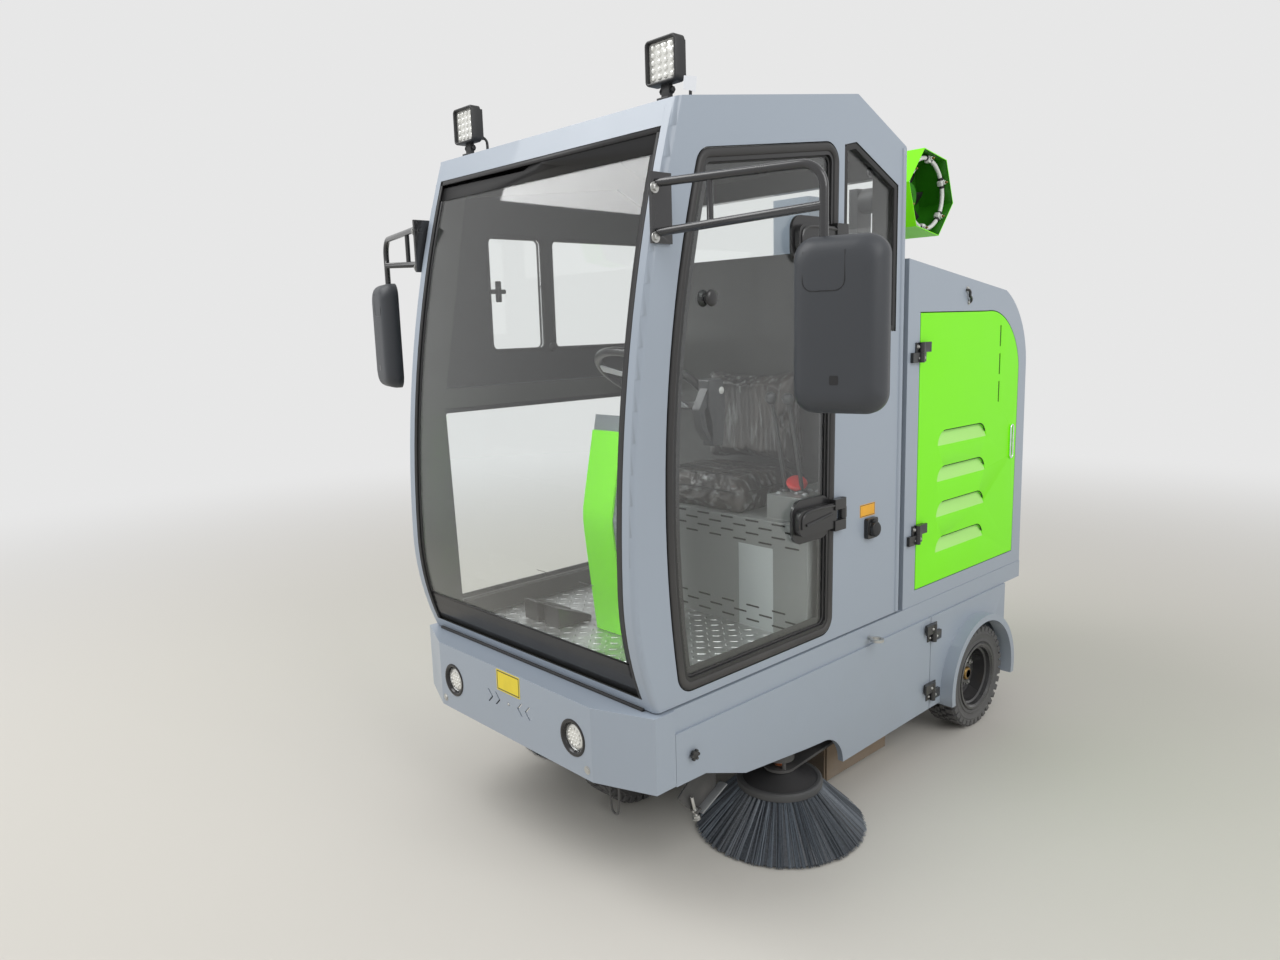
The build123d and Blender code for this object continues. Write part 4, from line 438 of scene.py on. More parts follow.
for word, wheel_x, station, side, body, dish in wheels:
    hub = spot(wheel_x, station, tyre_radius + ground)
    outward = facing(hub, (side, 0, 0), (0, 1, 0))
    bm = bmesh.new()
    turned(bm, outward, mirrored(side_wall), 72)
    for across, shift in ((1, 0.0), (-1, 0.5)):
        turn = spun(outward, shift * 2 * pi / lug_count)
        start = set(bm.verts)
        block(bm, turn, (tyre_radius - 24, -10, across * (tyre_half - 9.5)),
              (tyre_radius - 4, 10, across * (tyre_half - 0.5)), 2.2, 1)
        block(bm, turn, (lug_foot, -10, across * 20),
              (tyre_radius, 10, across * (tyre_half - 7)), 1.6, 1)
        block(bm, spun(turn, lug_turn), (lug_foot, -9, across * 2),
              (tyre_radius, 9, across * 17), 1.6, 1)
        lug = newer(bm, start)
        faces = {face for v in lug for face in v.link_faces}
        edges = {edge for v in lug for edge in v.link_edges}
        bmesh.ops.spin(
            bm, geom=lug + list(edges) + list(faces), cent=hub, axis=(1, 0, 0),
            angle=2 * pi * (lug_count - 1) / lug_count, steps=lug_count - 1,
            use_duplicate=True, use_merge=False,
        )
    finished("tyre_" + word + "_tread", bm, tyre_black, body, 30, ["tyre_" + word])

    bm = bmesh.new()
    turned(bm, outward, rim_lip + [
        (bead_radius, 50), (99, 38), (93, 34), (91, 14), (86, dish + 8), (78, dish + 5),
        (74, dish + 5), (72, dish + 7), (66, dish + 7), (64, dish + 5), (46, dish + 5),
        (43, dish + 8), (38, dish + 10), (38, dish + 24), (35, dish + 28), (24, dish + 28),
        (24, dish - 28), (38, dish - 28), (38, dish - 4), (86, dish - 4),
    ] + rim_back, 72)
    finished("rim_" + word + "_dish", bm, rim_black, body, 25, ["rim_" + word])

    bm = bmesh.new()
    for count in range(nut_count):
        stud = moved(spun(outward, 2 * pi * (count + 0.3) / nut_count), nut_circle, 0, dish + 4.5)
        bolt(bm, stud, nut_across, 11)
        rod(bm, moved(stud, z=10), 5, 6, sides=12, soft=1)
    finished("wheel_nuts_" + word, bm, zinc, body)
    bm = bmesh.new()
    cap = [(0, dish + 36), (14, dish + 36), (20, dish + 34), (23, dish + 29),
           (23.9, dish + 20), (0, dish + 20)]
    turned(bm, outward, cap, 32)
    if word == "front":
        turned(bm, outward, [(r, -h) for r, h in cap], 32)
    finished("hub_cap_" + word, bm, greasy_brass, body, 40)

# The bumper: one folded steel sheet with a mitre at each corner, a small bend under its
# top flange and cut-out marks. Its paint is the cab's, with bolts and a blank label.
bend_radius = 3.5
bumper_bolt_x, bumper_bolt_height, bumper_bolt_across = 322, -165, 14
mark_height = -91
label_yellow, label_line = (0.83, 0.66, 0.03), (0.03, 0.03, 0.03)
label_left, label_low, label_right, label_high = -50, -62, 55, -3.5


def merged_copy(*names):
    """Nodes of the model as one mesh: the same surface with its points joined."""
    bm = bmesh.new()
    for name in names:
        bm.from_mesh(nodes[name].data)
    bmesh.ops.remove_doubles(bm, verts=bm.verts, dist=1e-5)
    bmesh.ops.dissolve_limit(bm, angle_limit=radians(0.5), verts=bm.verts, edges=bm.edges)
    return bm


def eased(name, finish, body, radius, node, steps=2, sharp=30):
    """A node again with its edges eased: the copy stands for the node."""
    made = finished(name, merged_copy(node), finish, body, sharp, [node])
    ease = made.modifiers.new("ease", "BEVEL")
    ease.width = radius / 1000
    ease.segments = steps
    ease.limit_method = "ANGLE"
    ease.angle_limit = radians(35)
    ease.harden_normals = True
    ease.use_clamp_overlap = True
    return made


def front_face(x=0, station=0, height=0):
    """Place on a face that looks forward: across, up and out, in millimetres."""
    return facing(spot(x, station, height), (0, -1, 0), (1, 0, 0))


def top_face(x=0, station=0, height=0):
    """Place on a face that looks up: across, along and up, in millimetres."""
    return facing(spot(x, station, height), (0, 0, 1), (1, 0, 0))


def plate(bm, place, outline, low, high, corner=0.0, edge=0.0, hole=0.0):
    """A plate cut to an outline, with round corners and edges, and a frame if holed."""
    before = set(bm.verts)
    points = [bm.verts.new(place @ Vector((x, y, low))) for x, y in outline]
    face = bm.faces.new(points)
    if corner:
        bmesh.ops.bevel(
            bm, geom=points, offset=corner / 1000 * 0.8, offset_type="OFFSET", segments=5,
            profile=0.5, affect="VERTICES", clamp_overlap=True, material=-1,
        )
        sheet = [f for f in bm.faces if not set(f.verts) & before]
        face = max(sheet, key=lambda f: f.calc_area())
    if hole:
        face.normal_update()
        bmesh.ops.inset_region(
            bm, faces=[face], thickness=hole / 1000, use_boundary=True, use_even_offset=True)
        bmesh.ops.delete(bm, geom=[face], context="FACES_ONLY")
    sheet = [f for f in bm.faces if not set(f.verts) & before]
    grown = bmesh.ops.extrude_face_region(bm, geom=sheet, use_keep_orig=True)["geom"]
    raised = [item for item in grown if isinstance(item, bmesh.types.BMVert)]
    bmesh.ops.translate(bm, verts=raised, vec=place.col[2].xyz * (high - low))
    if edge:
        top = set(raised)
        soften(bm, {e for v in raised for e in v.link_edges
                    if set(e.verts) <= top and len(e.link_faces) == 2
                    and e.calc_face_angle(0) > radians(40)}, edge)
    return newer(bm, before)


def ruled(left, low, right, high):
    """Corners of an upright rectangle."""
    return [(left, low), (right, low), (right, high), (left, high)]


def printed(name, colour, low, high, axes, border):
    """A blank printed label: plain film with a thin dark line round its edge."""
    finish, tree, shader = start_finish(name, colour, 0.35)
    place = own_axes(tree)
    margins, outers = [], []
    for axis in axes:
        shift = add_node(tree, "Math", {1: (low[axis] + high[axis]) / 2}, operation="SUBTRACT")
        size = add_node(tree, "Math", operation="ABSOLUTE")
        wire(tree, (place[axis], shift.inputs[0]), (shift.outputs[0], size.inputs[0]))
        reach, size = (high[axis] - low[axis]) / 2, size.outputs[0]
        margins.append(between(tree, size, reach - border, reach - border * 0.9, 0.0, 1.0))
        outers.append(
            between(tree, size, reach - border * 0.5, reach - border * 0.4, 1.0, 0.0))
    line = joined(tree, "MULTIPLY", joined(tree, "MAXIMUM", *margins),
                  joined(tree, "MULTIPLY", *outers))
    share = between(tree, grain(tree, 30, 5), 0.4, 0.7, 0.0, 0.3)
    faded = tint(tree, share, colour, darker(colour, 0.75))
    wire(tree, (tint(tree, line, faded, label_line), shader.inputs["Base Color"]))
    relief(tree, shader, [grain(tree, 60, 3)], 0.08, 0.0008)
    return finish


eased("bumper_sheet", cab_grey, "chassis", bend_radius, "front_bumper", steps=3)
bm = bmesh.new()
for x in (-bumper_bolt_x, bumper_bolt_x):
    bolt(bm, moved(front_face(), x, bumper_bolt_height), bumper_bolt_across, 2.4)
rod(bm, moved(front_face(), 0, mark_height), 4, 1.6, 3, sides=14, soft=0.5)
finished("bumper_bolts", bm, zinc, "chassis")
bm = bmesh.new()
outline = ruled(label_left, label_low, label_right, label_high)
plate(bm, front_face(), outline, 0, 0.6, corner=2)
yellow_label = printed(
    "yellow_label", label_yellow, spot(label_left, 0, label_low),
    spot(label_right, 0, label_high), (0, 2), 0.006)
finished("bumper_label", bm, yellow_label, "chassis")

# A thin steel rod bent to a U hangs under the left corner of the bumper. It is black, and
# its two ends go up behind the sheet.
rod_line = ((356, 40, -150), (356, 40, -262), (376, 38, -276), (396, 36, -262), (396, 36, -150))


def tube_along(bm, points, radius, sides=10, order=3):
    """A tube that follows a smooth line through the places given."""
    line = bpy.data.curves.new("line", "CURVE")
    line.dimensions = "3D"
    line.bevel_depth = radius / 1000
    line.bevel_resolution = max(0, sides // 4 - 1)
    line.use_fill_caps = True
    line.resolution_u = 6
    run = line.splines.new("NURBS")
    run.points.add(len(points) - 1)
    for point, place in zip(run.points, points):
        point.co = (*place, 1)
    run.order_u = order
    run.use_endpoint_u = True
    holder = bpy.data.objects.new("line", line)
    scene.collection.objects.link(holder)
    seen_now = bpy.context.evaluated_depsgraph_get()
    mesh = bpy.data.meshes.new_from_object(holder.evaluated_get(seen_now))
    bm.from_mesh(mesh)
    bpy.data.objects.remove(holder)
    bpy.data.curves.remove(line)
    bpy.data.meshes.remove(mesh)


bm = bmesh.new()
tube_along(bm, [spot(*place) for place in rod_line], 3)
finished("bumper_rod", bm, frame_black, "chassis", 60)

# Headlamps: a black bezel pressed into the bumper, a chromed bowl and a clear lens with
# a ring of small dimples; the pale lens sits a little inwards of the bezel.
lamp_x, lamp_height, lamp_radius, lens_radius = 270, -98, 44, 31
dimple_rings, dimple_radius = ((0, 1), (10.5, 6), (21, 12)), 3.9
gloss_black = sprayed("gloss_black", (0.012, 0.012, 0.013), 0.16, 0.04, 0.5, 0.15)
chrome = bare_metal("chrome", (0.86, 0.87, 0.88), 0.08)


def glazed(name, colour):
    """Glass: clear to the eye, and lamp light passes straight through it."""
    clear = {"Transmission Weight": 1.0, "IOR": 1.45, "Specular IOR Level": 0.25}
    finish, tree, shader = start_finish(name, colour, 0.02, clear)
    through = add_node(tree, "BsdfTransparent", {"Color": (*colour, 1)})
    blend = add_node(tree, "MixShader")
    wire(tree, (add_node(tree, "LightPath").outputs["Is Shadow Ray"], blend.inputs[0]),
         (shader.outputs[0], blend.inputs[1]), (through.outputs[0], blend.inputs[2]),
         (blend.outputs[0], tree.nodes["Material Output"].inputs["Surface"]))
    return finish


lens_white, tree, shader = start_finish(
    "lens_white", (0.80, 0.80, 0.76), 0.12, {"Coat Weight": 1.0, "Metallic": 0.25})
relief(tree, shader, [grain(tree, 160, 2)], 0.25, 0.002)
bm_bezel, bm_lens, bm_bowl = bmesh.new(), bmesh.new(), bmesh.new()
for x in (-lamp_x, lamp_x):
    seat = moved(front_face(), x, lamp_height)
    turned(bm_bezel, seat, [
        (lamp_radius - 9, -5), (lamp_radius - 6, 0.5), (lamp_radius - 3, 2.3),
        (lamp_radius + 1, 2.4), (lamp_radius + 4, 0.2), (lamp_radius - 0.4, -0.5),
        (lamp_radius - 0.4, -44), (0, -45), (0, -40), (lamp_radius - 9, -38),
        (lamp_radius - 9, -5),
    ], 48)
    turned(bm_bowl, seat, [
        (0, -30), (18, -29), (29, -22), (34.8, -8), (34.8, -11), (29, -25), (18, -32),
        (0, -33), (0, -30),
    ], 40)
    turned(bm_lens, seat, [
        (0, -4), (14, -4.4), (25, -5.6), (lens_radius, -8), (lens_radius, -14), (0, -14),
        (0, -4),
    ], 40)
    for ring, count in dimple_rings:
        for step in range(count):
            dimple = moved(spun(seat, 2 * pi * step / count), ring, 0, -5.6)
            rod(bm_lens, dimple, dimple_radius, 3.2, 2.2, sides=10, soft=0.8)
finished("headlamp_bezels", bm_bezel, gloss_black, "chassis", 40)
finished("headlamp_bowls", bm_bowl, chrome, "chassis", 50)
finished("headlamp_lenses", bm_lens, lens_white, "chassis", 40)

# Work lamps on the roof: a square cast housing with fins behind, in a bent U bracket
# with a bolt on each side; the cable drops through a hole in the roof.
work_lamp_x, work_lamp_station, work_lamp_low, work_lamp_side = 403, 246, 1424, 98
half_lamp, half_lens, fin_pitch = 49, 43, 12.4
lead_line = ((30, 18, 18), (40, 30, 10), (44, 30, -12), (42, 30, -36))
cast_black = moulded("cast_black", (0.020, 0.020, 0.021), 0.48, 900, 0.18, 0.3, 0.1)
bm_body, bm_lens, bm_bracket, bm_cable = (bmesh.new() for count in range(4))
for x in (-work_lamp_x, work_lamp_x):
    front = front_face(x, work_lamp_station, work_lamp_low + work_lamp_side / 2)
    square = ruled(-half_lamp, -half_lamp, half_lamp, half_lamp)
    plate(bm_body, front, square, 4, 22.5, corner=15, edge=4, hole=7)
    plate(bm_body, front, square, -8, 4, corner=15)
    for fin in range(7):
        left = -40 + fin_pitch * fin
        block(bm_body, front, (left, -42, -22.5), (left + 4.5, 42, -7), 1.2, 1)
    block(bm_body, front, (-28, -28, -20), (28, 28, -7), 3)
    square = ruled(-half_lens, -half_lens, half_lens, half_lens)
    plate(bm_lens, front, square, 3.5, 13, corner=10, edge=1.5)
    for column in range(4):
        for row in range(5):
            cell = moved(front, -29.4 + 19.6 * column, -32 + 16 * row, 12)
            rod(bm_lens, cell, 8.4, 4, 4.6, sides=8, soft=1.0)
    foot = top_face(x, work_lamp_station, work_lamp_low - 30)
    plate(bm_bracket, foot, ruled(-20, -17, 20, 17), -2, 2, corner=5, edge=0.8)
    block(bm_bracket, front, (-13, -84, -5), (13, -46, 8), 2)
    for end in (-1, 1):
        seat = spot(x + end * 13, work_lamp_station, work_lamp_low - 12)
        bolt(bm_bracket, facing(seat, (end, 0, 0), (0, 0, 1)), 12, 7)
    tube_along(bm_cable, [spot(x + out, work_lamp_station + along, work_lamp_low + rise)
                          for out, along, rise in lead_line], 4)
finished("work_lamp_housings", bm_body, cast_black, "chassis", 30)
finished("work_lamp_lenses", bm_lens, lens_white, "chassis", 30)
finished("work_lamp_brackets", bm_bracket, cast_black, "chassis", 30)
finished("work_lamp_leads", bm_cable, cast_black, "chassis", 60)

# Tail lamps: a round red and amber cluster on each side of the back skirt, each lens
# moulded in one piece and held by a black ring.
tail_lamp_x, tail_lamp_station, tail_lamp_height = 425, 1820, -148
tail_parts = (
    ("tail_lamp_rings", gloss_black, "black_plastic", 40, ["lamps"],
     [(33, 8), (35, 10.5), (38, 10), (40, 6), (40, 0.3), (33, 0.3), (33, 8)]),
    ("tail_lamp_reds", sprayed("red_lens", (0.45, 0.012, 0.010), 0.12, 0.05, 0.8, 0.25,
                               {"Coat Weight": 1.0}), "lamp", 40, (),
     [(20, 11), (26, 13), (31, 12), (33, 8), (33, 0.5), (20, 0.5), (20, 11)]),
    ("tail_lamp_ambers", sprayed("amber_lens", (0.75, 0.22, 0.02), 0.12, 0.05, 0.8, 0.25,
                                 {"Coat Weight": 1.0}), "lamp", 32, (),
     [(0, 15.5), (10, 15), (17, 13), (20, 10), (20, 0.5), (0, 0.5), (0, 15.5)]),
)
for name, finish, slot_name, steps, stands_for, profile in tail_parts:
    bm = bmesh.new()
    for x in (-tail_lamp_x, tail_lamp_x):
        seat = facing(spot(x, tail_lamp_station, tail_lamp_height), (0, 1, 0), (1, 0, 0))
        turned(bm, seat, profile, steps)
    finished(name, bm, finish, "chassis", stands_for=stands_for)

# The cab shell: pressed and folded steel welded up, with thick round front pillars, a
# flat sloping roof and a back wall, sprayed blue grey, its inward faces near black as painted
# shade.
cab_half, cab_wall = 490, 36
cab_middle, painted_shade_inside = (0, at(600), up(700)), (0.062, 0.064, 0.060)
cab_shell = sprayed("cab_shell", blue_grey, 0.32, 0.02, 0.6, 0.16, {"Coat Weight": 0.2})
tree = cab_shell.node_tree
paint = tree.nodes["Principled BSDF"].inputs["Base Color"]
outside_colour = paint.links[0].from_socket
place = add_node(tree, "TexCoord").outputs
# Faces that look in towards the cab's middle turn near black: painted shade, the blue grey darkened
# as if the inside lay in shadow.
from_middle = add_node(tree, "VectorMath", {1: cab_middle}, operation="SUBTRACT")
looks_out = add_node(tree, "VectorMath", operation="DOT_PRODUCT")
wire(tree, (place["Object"], from_middle.inputs[0]),
     (from_middle.outputs["Vector"], looks_out.inputs[0]), (place["Normal"], looks_out.inputs[1]))
painted_shade_mask = between(tree, looks_out.outputs["Value"], -0.01, 0.01, 1.0, 0.0)
wire(tree, (tint(tree, painted_shade_mask, outside_colour, painted_shade_inside), paint))
for name in ("cab_side_left", "cab_side_right", "cab_roof", "cab_rear_wall"):
    dress(name, cab_shell)
bm = bmesh.new()
label_points = [(206, 1393), (246, 1393), (250, 1425), (210, 1421)]
plate(bm, side_face(cab_half), label_points, 0, 0.5, corner=1)
white_label = sprayed("white_label", (0.74, 0.76, 0.80), 0.35, 0.05, 0.5, 0.1)
finished("roof_label", bm, white_label, "chassis")

# The sill trim ahead of the windscreen: a thin black rubber line, laid on the bumper's
# flange in a groove of its own.
sill_rubber = moulded("sill_rubber", (0.022, 0.022, 0.023), 0.55, 800, 0.12, 1.2, 0.15)
bm = bmesh.new()
block(bm, top_face(), (-448, 70, 0.2), (448, 79, 7), 1.5)
finished("sill_rubber", bm, sill_rubber, "chassis")

# The windscreen: one bowed pane in a black rubber strip, with a dark printed band along
# the foot and the head and down both sides.
band_foot, band_head, band_side = 33 + 92, 1262, cab_half - cab_wall - 24
seal_head, seal_side = 1306, cab_half - cab_wall - 11
pane_glass = glazed("pane_glass", (0.97, 0.99, 0.985))
dress("windshield", glazed("windscreen_glass", (0.97, 0.985, 0.98)))
band_black = moulded("band_black", (0.012, 0.012, 0.013), 0.30, 600, 0.05, 1.0, 0.12)


def pane_strips(cuts, lift):
    """The windscreen's front skin beyond each of some planes, lifted off the glass."""
    bm = bmesh.new()
    for point, out in cuts:
        strip = merged_copy("windshield")
        away = [f for f in strip.faces if f.normal.angle(Vector((0, -1, 0)), 4) > radians(70)]
        bmesh.ops.delete(strip, geom=away, context="FACES")
        bmesh.ops.bisect_plane(
            strip, geom=strip.verts[:] + strip.edges[:] + strip.faces[:], plane_co=point,
            plane_no=out, clear_inner=True, clear_outer=False,
        )
        spare = bpy.data.meshes.new("spare")
        strip.to_mesh(spare)
        strip.free()
        bm.from_mesh(spare)
        bpy.data.meshes.remove(spare)
    for v in bm.verts:
        v.co.y -= lift
    return bm


band = finished("windscreen_band", pane_strips((
    (spot(0, 0, band_head), (0, 0, 1)), (spot(0, 0, band_foot), (0, 0, -1)),
    (spot(band_side, 0, 0), (1, 0, 0)), (spot(-band_side, 0, 0), (-1, 0, 0)),
), 0.0008), band_black, "chassis")
film = band.modifiers.new("film", "SOLIDIFY")
film.thickness = 0.0006
seal = finished("windscreen_seal", pane_strips((
    (spot(-seal_side, 0, 0), (-1, 0, 0)), (spot(seal_side, 0, 0), (1, 0, 0)),
    (spot(0, 0, seal_head), (0, 0, 1)),
), 0.0012), sill_rubber, "chassis")
rubber = seal.modifiers.new("bead", "SOLIDIFY")
rubber.thickness = 0.004
rubber.offset = 1.0

# The cab door: an extruded black frame round one bonded pane with a soft rubber bead
# along its outer edge, hung on two ribbed castings at its back edge.
door_low_front, door_bow_point, door_high_front = (155, 26), (126, 590), (253, 1279)
door_high_back, door_low_back = (788, 1351), (768, 26)
door_corner, door_bead, door_face_x = 50, 21, 490
pane_inner_x, pane_outer_x = 475, 481
band_inset, band_width, strip_inset = 31, 26, 34


def bowed(start, middle, end, steps=14):
    """Points of the arc that runs through three places."""
    (ax, ay), (bx, by), (cx, cy) = start, middle, end
    bend = 2 * (ax * (by - cy) + bx * (cy - ay) + cx * (ay - by))
    a2, b2, c2 = ax * ax + ay * ay, bx * bx + by * by, cx * cx + cy * cy
    centre = Vector(((a2 * (by - cy) + b2 * (cy - ay) + c2 * (ay - by)) / bend,
                     (a2 * (cx - bx) + b2 * (ax - cx) + c2 * (bx - ax)) / bend))
    first, last = Vector(start) - centre, Vector(end) - centre
    sweep = atan2(first.cross(last), first.dot(last))
    turns = [sweep * step / steps for step in range(steps + 1)]
    return [tuple(centre + Matrix.Rotation(turn, 2) @ first) for turn in turns]


def corners(outline):
    """Each corner of an outline with the directions from the last one and to the next."""
    for count, corner in enumerate(outline):
        corner = Vector(corner)
        yield (corner, (corner - Vector(outline[count - 1])).normalized(),
               (Vector(outline[(count + 1) % len(outline)]) - corner).normalized())


def across_both(one, two):
    """Direction square to a line that bends from one way to another."""
    return (Vector((-one.y, one.x)) + Vector((-two.y, two.x))).normalized()


def rounded(outline, radius, steps=6):
    """An outline whose sharp corners are turned to arcs of a radius."""
    line = []
    for corner, one, ahead in corners(outline):
        back = -one
        half = back.angle(ahead) / 2
        if half > radians(86):
            line.append(tuple(corner))
            continue
        centre = corner + (back + ahead).normalized() * radius / sin(half)
        start = corner + back * radius * cos(half) / sin(half) - centre
        sweep = (pi - 2 * half) * (1 if back.cross(ahead) < 0 else -1)
        line += [tuple(centre + Matrix.Rotation(sweep * step / steps, 2) @ start)
                 for step in range(steps + 1)]
    return line


def drawn_in(outline, shrink):
    """An outline pulled in all round by a distance, or let out by a negative one."""
    around = sum(Vector(a).cross(Vector(b)) for a, b in zip(outline, outline[1:] + outline[:1]))
    turn = 1 if around > 0 else -1
    return [tuple(corner + across_both(one, two) * turn * shrink
                  / max(0.3, cos(one.angle(two) / 2))) for corner, one, two in corners(outline)]


def bridged(bm, rings):
    """Skins between each ring of points and the next, all with as many points."""
    for ring, following in zip(rings, rings[1:]):
        for step in range(len(ring)):
            bm.faces.new((ring[step - 1], ring[step], following[step], following[step - 1]))


def bead(bm, place, outline, radius, flat=1.0, level=0.0, sides=10):
    """A closed bead along an outline, pressed flat towards its face."""
    before = set(bm.verts)
    turns = [2 * pi * step / sides for step in range(sides)]
    rings = []
    for corner, one, two in corners(outline):
        side = across_both(one, two) * radius
        ring = [(*(corner + side * cos(turn)), level + radius * flat * sin(turn)) for turn in turns]
        rings.append([bm.verts.new(place @ Vector(point)) for point in ring])
    bridged(bm, rings[:1] + rings[::-1])
    return newer(bm, before)


door_outline = bowed(door_low_front, door_bow_point, door_high_front)
door_outline += [door_high_back, door_low_back]
cast_gloss = sprayed(
    "cast_gloss", (0.016, 0.016, 0.017), 0.30, 0.10, 0.6, 0.2, {"Coat Weight": 0.3})
bead_rubber = moulded("bead_rubber", (0.030, 0.029, 0.029), 0.50, 500, 0.14, 1.0, 0.25)
eased("door_frame", cast_gloss, "cab_door", 2.5, "cab_door_frame")
dress("cab_door_glass", pane_glass)
bm = bmesh.new()
line = rounded(drawn_in(door_outline, 3.5 + door_bead / 2), door_corner - 14)
bead(bm, side_face(door_face_x - 1), line, door_bead / 2, 0.62)
finished("door_bead", bm, bead_rubber, "cab_door", 60)
bm = bmesh.new()
line = rounded(drawn_in(door_outline, band_inset), 24)
plate(bm, side_face(0), line, pane_inner_x - 0.9, pane_inner_x - 0.2, hole=band_width)
finished("door_band", bm, band_black, "cab_door")
bm = bmesh.new()
bead(bm, side_face(pane_outer_x), rounded(drawn_in(door_outline, strip_inset), 22), 3.2, 0.7)
finished("door_glazing_strip", bm, sill_rubber, "cab_door", 60)

# Two ribbed castings carry the door: each has a pair of raised ribs that run together
# towards its fork. The pins' knuckles are bolted to the cab and the housing.
casting_heights, prong_rise, rib_x = (366, 1096), 29.5, door_face_x + 18.4
ribs = (
    ((762, 27), (712, 30), (640, 31), (612, 24), (603, 4), (606, -14)),
    ((738, 8), (700, 3), (650, -3), (624, -6)),
)
bm = bmesh.new()
for middle in casting_heights:
    for points in ribs:
        tube_along(bm, [spot(rib_x, station, middle + rise) for station, rise in points], 3.8, 8)
    for prong in (prong_rise, -prong_rise):
        rod(bm, top_face(502, 798, middle + prong - 15.5), 7.5, 31, sides=20, soft=1.5)
finished("hinge_ribs", bm, cast_gloss, "cab_door", 50)
eased("hinge_blocks", cast_gloss, "chassis", 1.4, "door_hinges")

# The pull knob is clamped through the pane. The lock inside is a moulded case with a
# long grip and a lever that leans forwards.
knob_profile = [
    (0, 0), (13, 0), (13, 2), (11, 4), (14, 7), (18.5, 9), (20, 12), (18.5, 15),
    (13, 17.4), (6, 18.2), (0, 18.4),
]
case_points = [(288, 764), (338, 764), (346, 690), (340, 640), (336, 604), (300, 604),
               (298, 660), (284, 700)]
grip_points = [(290, 748), (290, 706), (276, 690), (284, 650), (300, 622), (292, 616),
               (268, 650), (257, 694)]
bm = bmesh.new()
for out, start in ((1, pane_outer_x + 0.3), (-1, pane_inner_x - 0.3)):
    turned(bm, side_face(start, 284, 951, out), knob_profile, 28)
finished("door_knob", bm, cast_gloss, "cab_door", 50, ["cab_door_handle"])
bm = bmesh.new()
plate(bm, side_face(0), case_points, 441, 474.6, corner=7, edge=4)
plate(bm, side_face(0), grip_points, 446, 470, corner=6, edge=3)
plate(bm, side_face(0), ruled(306, 612, 330, 690), 436, 446, corner=6, edge=3)
lock_grey = moulded("lock_grey", (0.018, 0.019, 0.021), 0.42, 700, 0.1, 0.5, 0.05)
finished("door_lock", bm, lock_grey, "cab_door", 40)
bm = bmesh.new()
rod(bm, spun(moved(side_face(440.5), 326, 738), pi, "X"), 9, 3, sides=20, soft=0.8)
bolt(bm, moved(side_face(474.6, 330, 736, -1), z=34), 14, 5)
rod(bm, moved(side_face(474.7, 331, 736), z=-1), 9, 1.2, sides=16, soft=0.5)
finished("door_lock_bolt", bm, zinc, "cab_door")

# The fixed panes: each lies in a black rubber strip with round corners. The two sliding
# panes on the right side run in one frame with a round knob and a small cross latch.
pane_frames = (
    ([(808, 856), (812, 1344), (866, 1356), (1074, 1262), (1074, 856)],
     16, cab_half - 8, cab_half - 1.5),
    ([(160, 60), (142, 664), (1040, 664), (1040, 60)], 20, 1.5 - cab_half, 8 - cab_half),
    ([(150, 724), (255, 1279), (866, 1350), (1040, 1270), (1040, 724)],
     20, 1.5 - cab_half, 8 - cab_half),
)
slider_windows, slider_low, slider_high = ((335, 530), (580, 1000)), 827, 1174
catch_x, latch_station, latch_height = -463, 359, 1008
dress("side_windows", pane_glass)
dress("slider_panel", frame_black)
bm = bmesh.new()
for outline, corner, inner_x, outer_x in pane_frames:
    line = rounded(drawn_in(outline, 2), corner)
    plate(bm, side_face(0), line, inner_x, outer_x, edge=1.5, hole=15)
finished("pane_strips", bm, sill_rubber, "chassis")
bm = bmesh.new()
for front, back in slider_windows:
    line = rounded(ruled(front - 4, slider_low, back + 4, slider_high), 22)
    bead(bm, side_face(6 - cab_half), line, 6, 0.6)
    bead(bm, side_face(-cab_wall - 430), line, 5, 0.6)
block(bm, side_face(0), (530, slider_low + 2, -477), (548, slider_high - 2, -464), 2)
finished("slider_seals", bm, bead_rubber, "chassis", 60)
bm = bmesh.new()
turned(bm, side_face(catch_x, 556, 833), [
    (0, -6), (6, -6), (6, 3), (13, 5), (15, 9), (13, 13), (6, 15), (0, 15.2)], 24)
turned(bm, side_face(474.6, 958, 1289, -1), [
    (0, 0), (9, 0), (9, 4), (14, 6), (15, 10), (11, 13), (0, 14)], 24)
latch = side_face(catch_x, latch_station, latch_height)
block(bm, latch, (-26, -7, -4), (26, 7, 8), 3)
block(bm, latch, (-8, -32, -4), (8, 32, 10), 3)
finished("slider_catches", bm, cast_gloss, "chassis", 40)

# Mirrors: a fork of bent steel tube bolted to a folded plate on the pillar, and a moulded
# shell with a rounded back, whose front has a cover panel round the tube.
mirror_toe = radians(16)
mirror_x, mirror_station, mirror_top, mirror_height, mirror_half = 892, 220, 1052, 340, 93
arm_end_x, arm_end_station, arm_reach, head_from = 862, 200, 0.0105, 0.76
shell_corner, panel_half, panel_far, panel_low, panel_high = 42, 64, 20, 66, 164
shell_levels = (
    (-1.6, 8), (-6.6, 8), (-6.6, 1.5), (-5.2, 0), (12, 0), (21, 1.6), (30, 5), (37, 9.5),
    (43, 15.5), (46.6, 22), (48.6, 30), (49.5, 42),
)
root_bolt_x, root_bolt_station, root_bolt_heights = 498, 104, (1180, 1078)
tube_gloss = sprayed(
    "tube_gloss", (0.020, 0.020, 0.022), 0.24, 0.03, 1.6, 0.1, {"Coat Weight": 0.5})
shell_satin = moulded("shell_satin", (0.040, 0.044, 0.051), 0.50, 1300, 0.16, 1.2, 0.05)
dress("mirror_glasses", bare_metal("mirror_face", (0.78, 0.80, 0.80), 0.04))
bm = merged_copy("mirrors")
low_end = up(mirror_top + 4)
arm_end = Vector((arm_end_x / 1000, at(arm_end_station)))
heads = [v for v in bm.verts if abs(v.co.x) > head_from and v.co.z < low_end
         and (Vector((abs(v.co.x), v.co.y)) - arm_end).length > arm_reach]
bmesh.ops.delete(bm, geom=heads, context="VERTS")
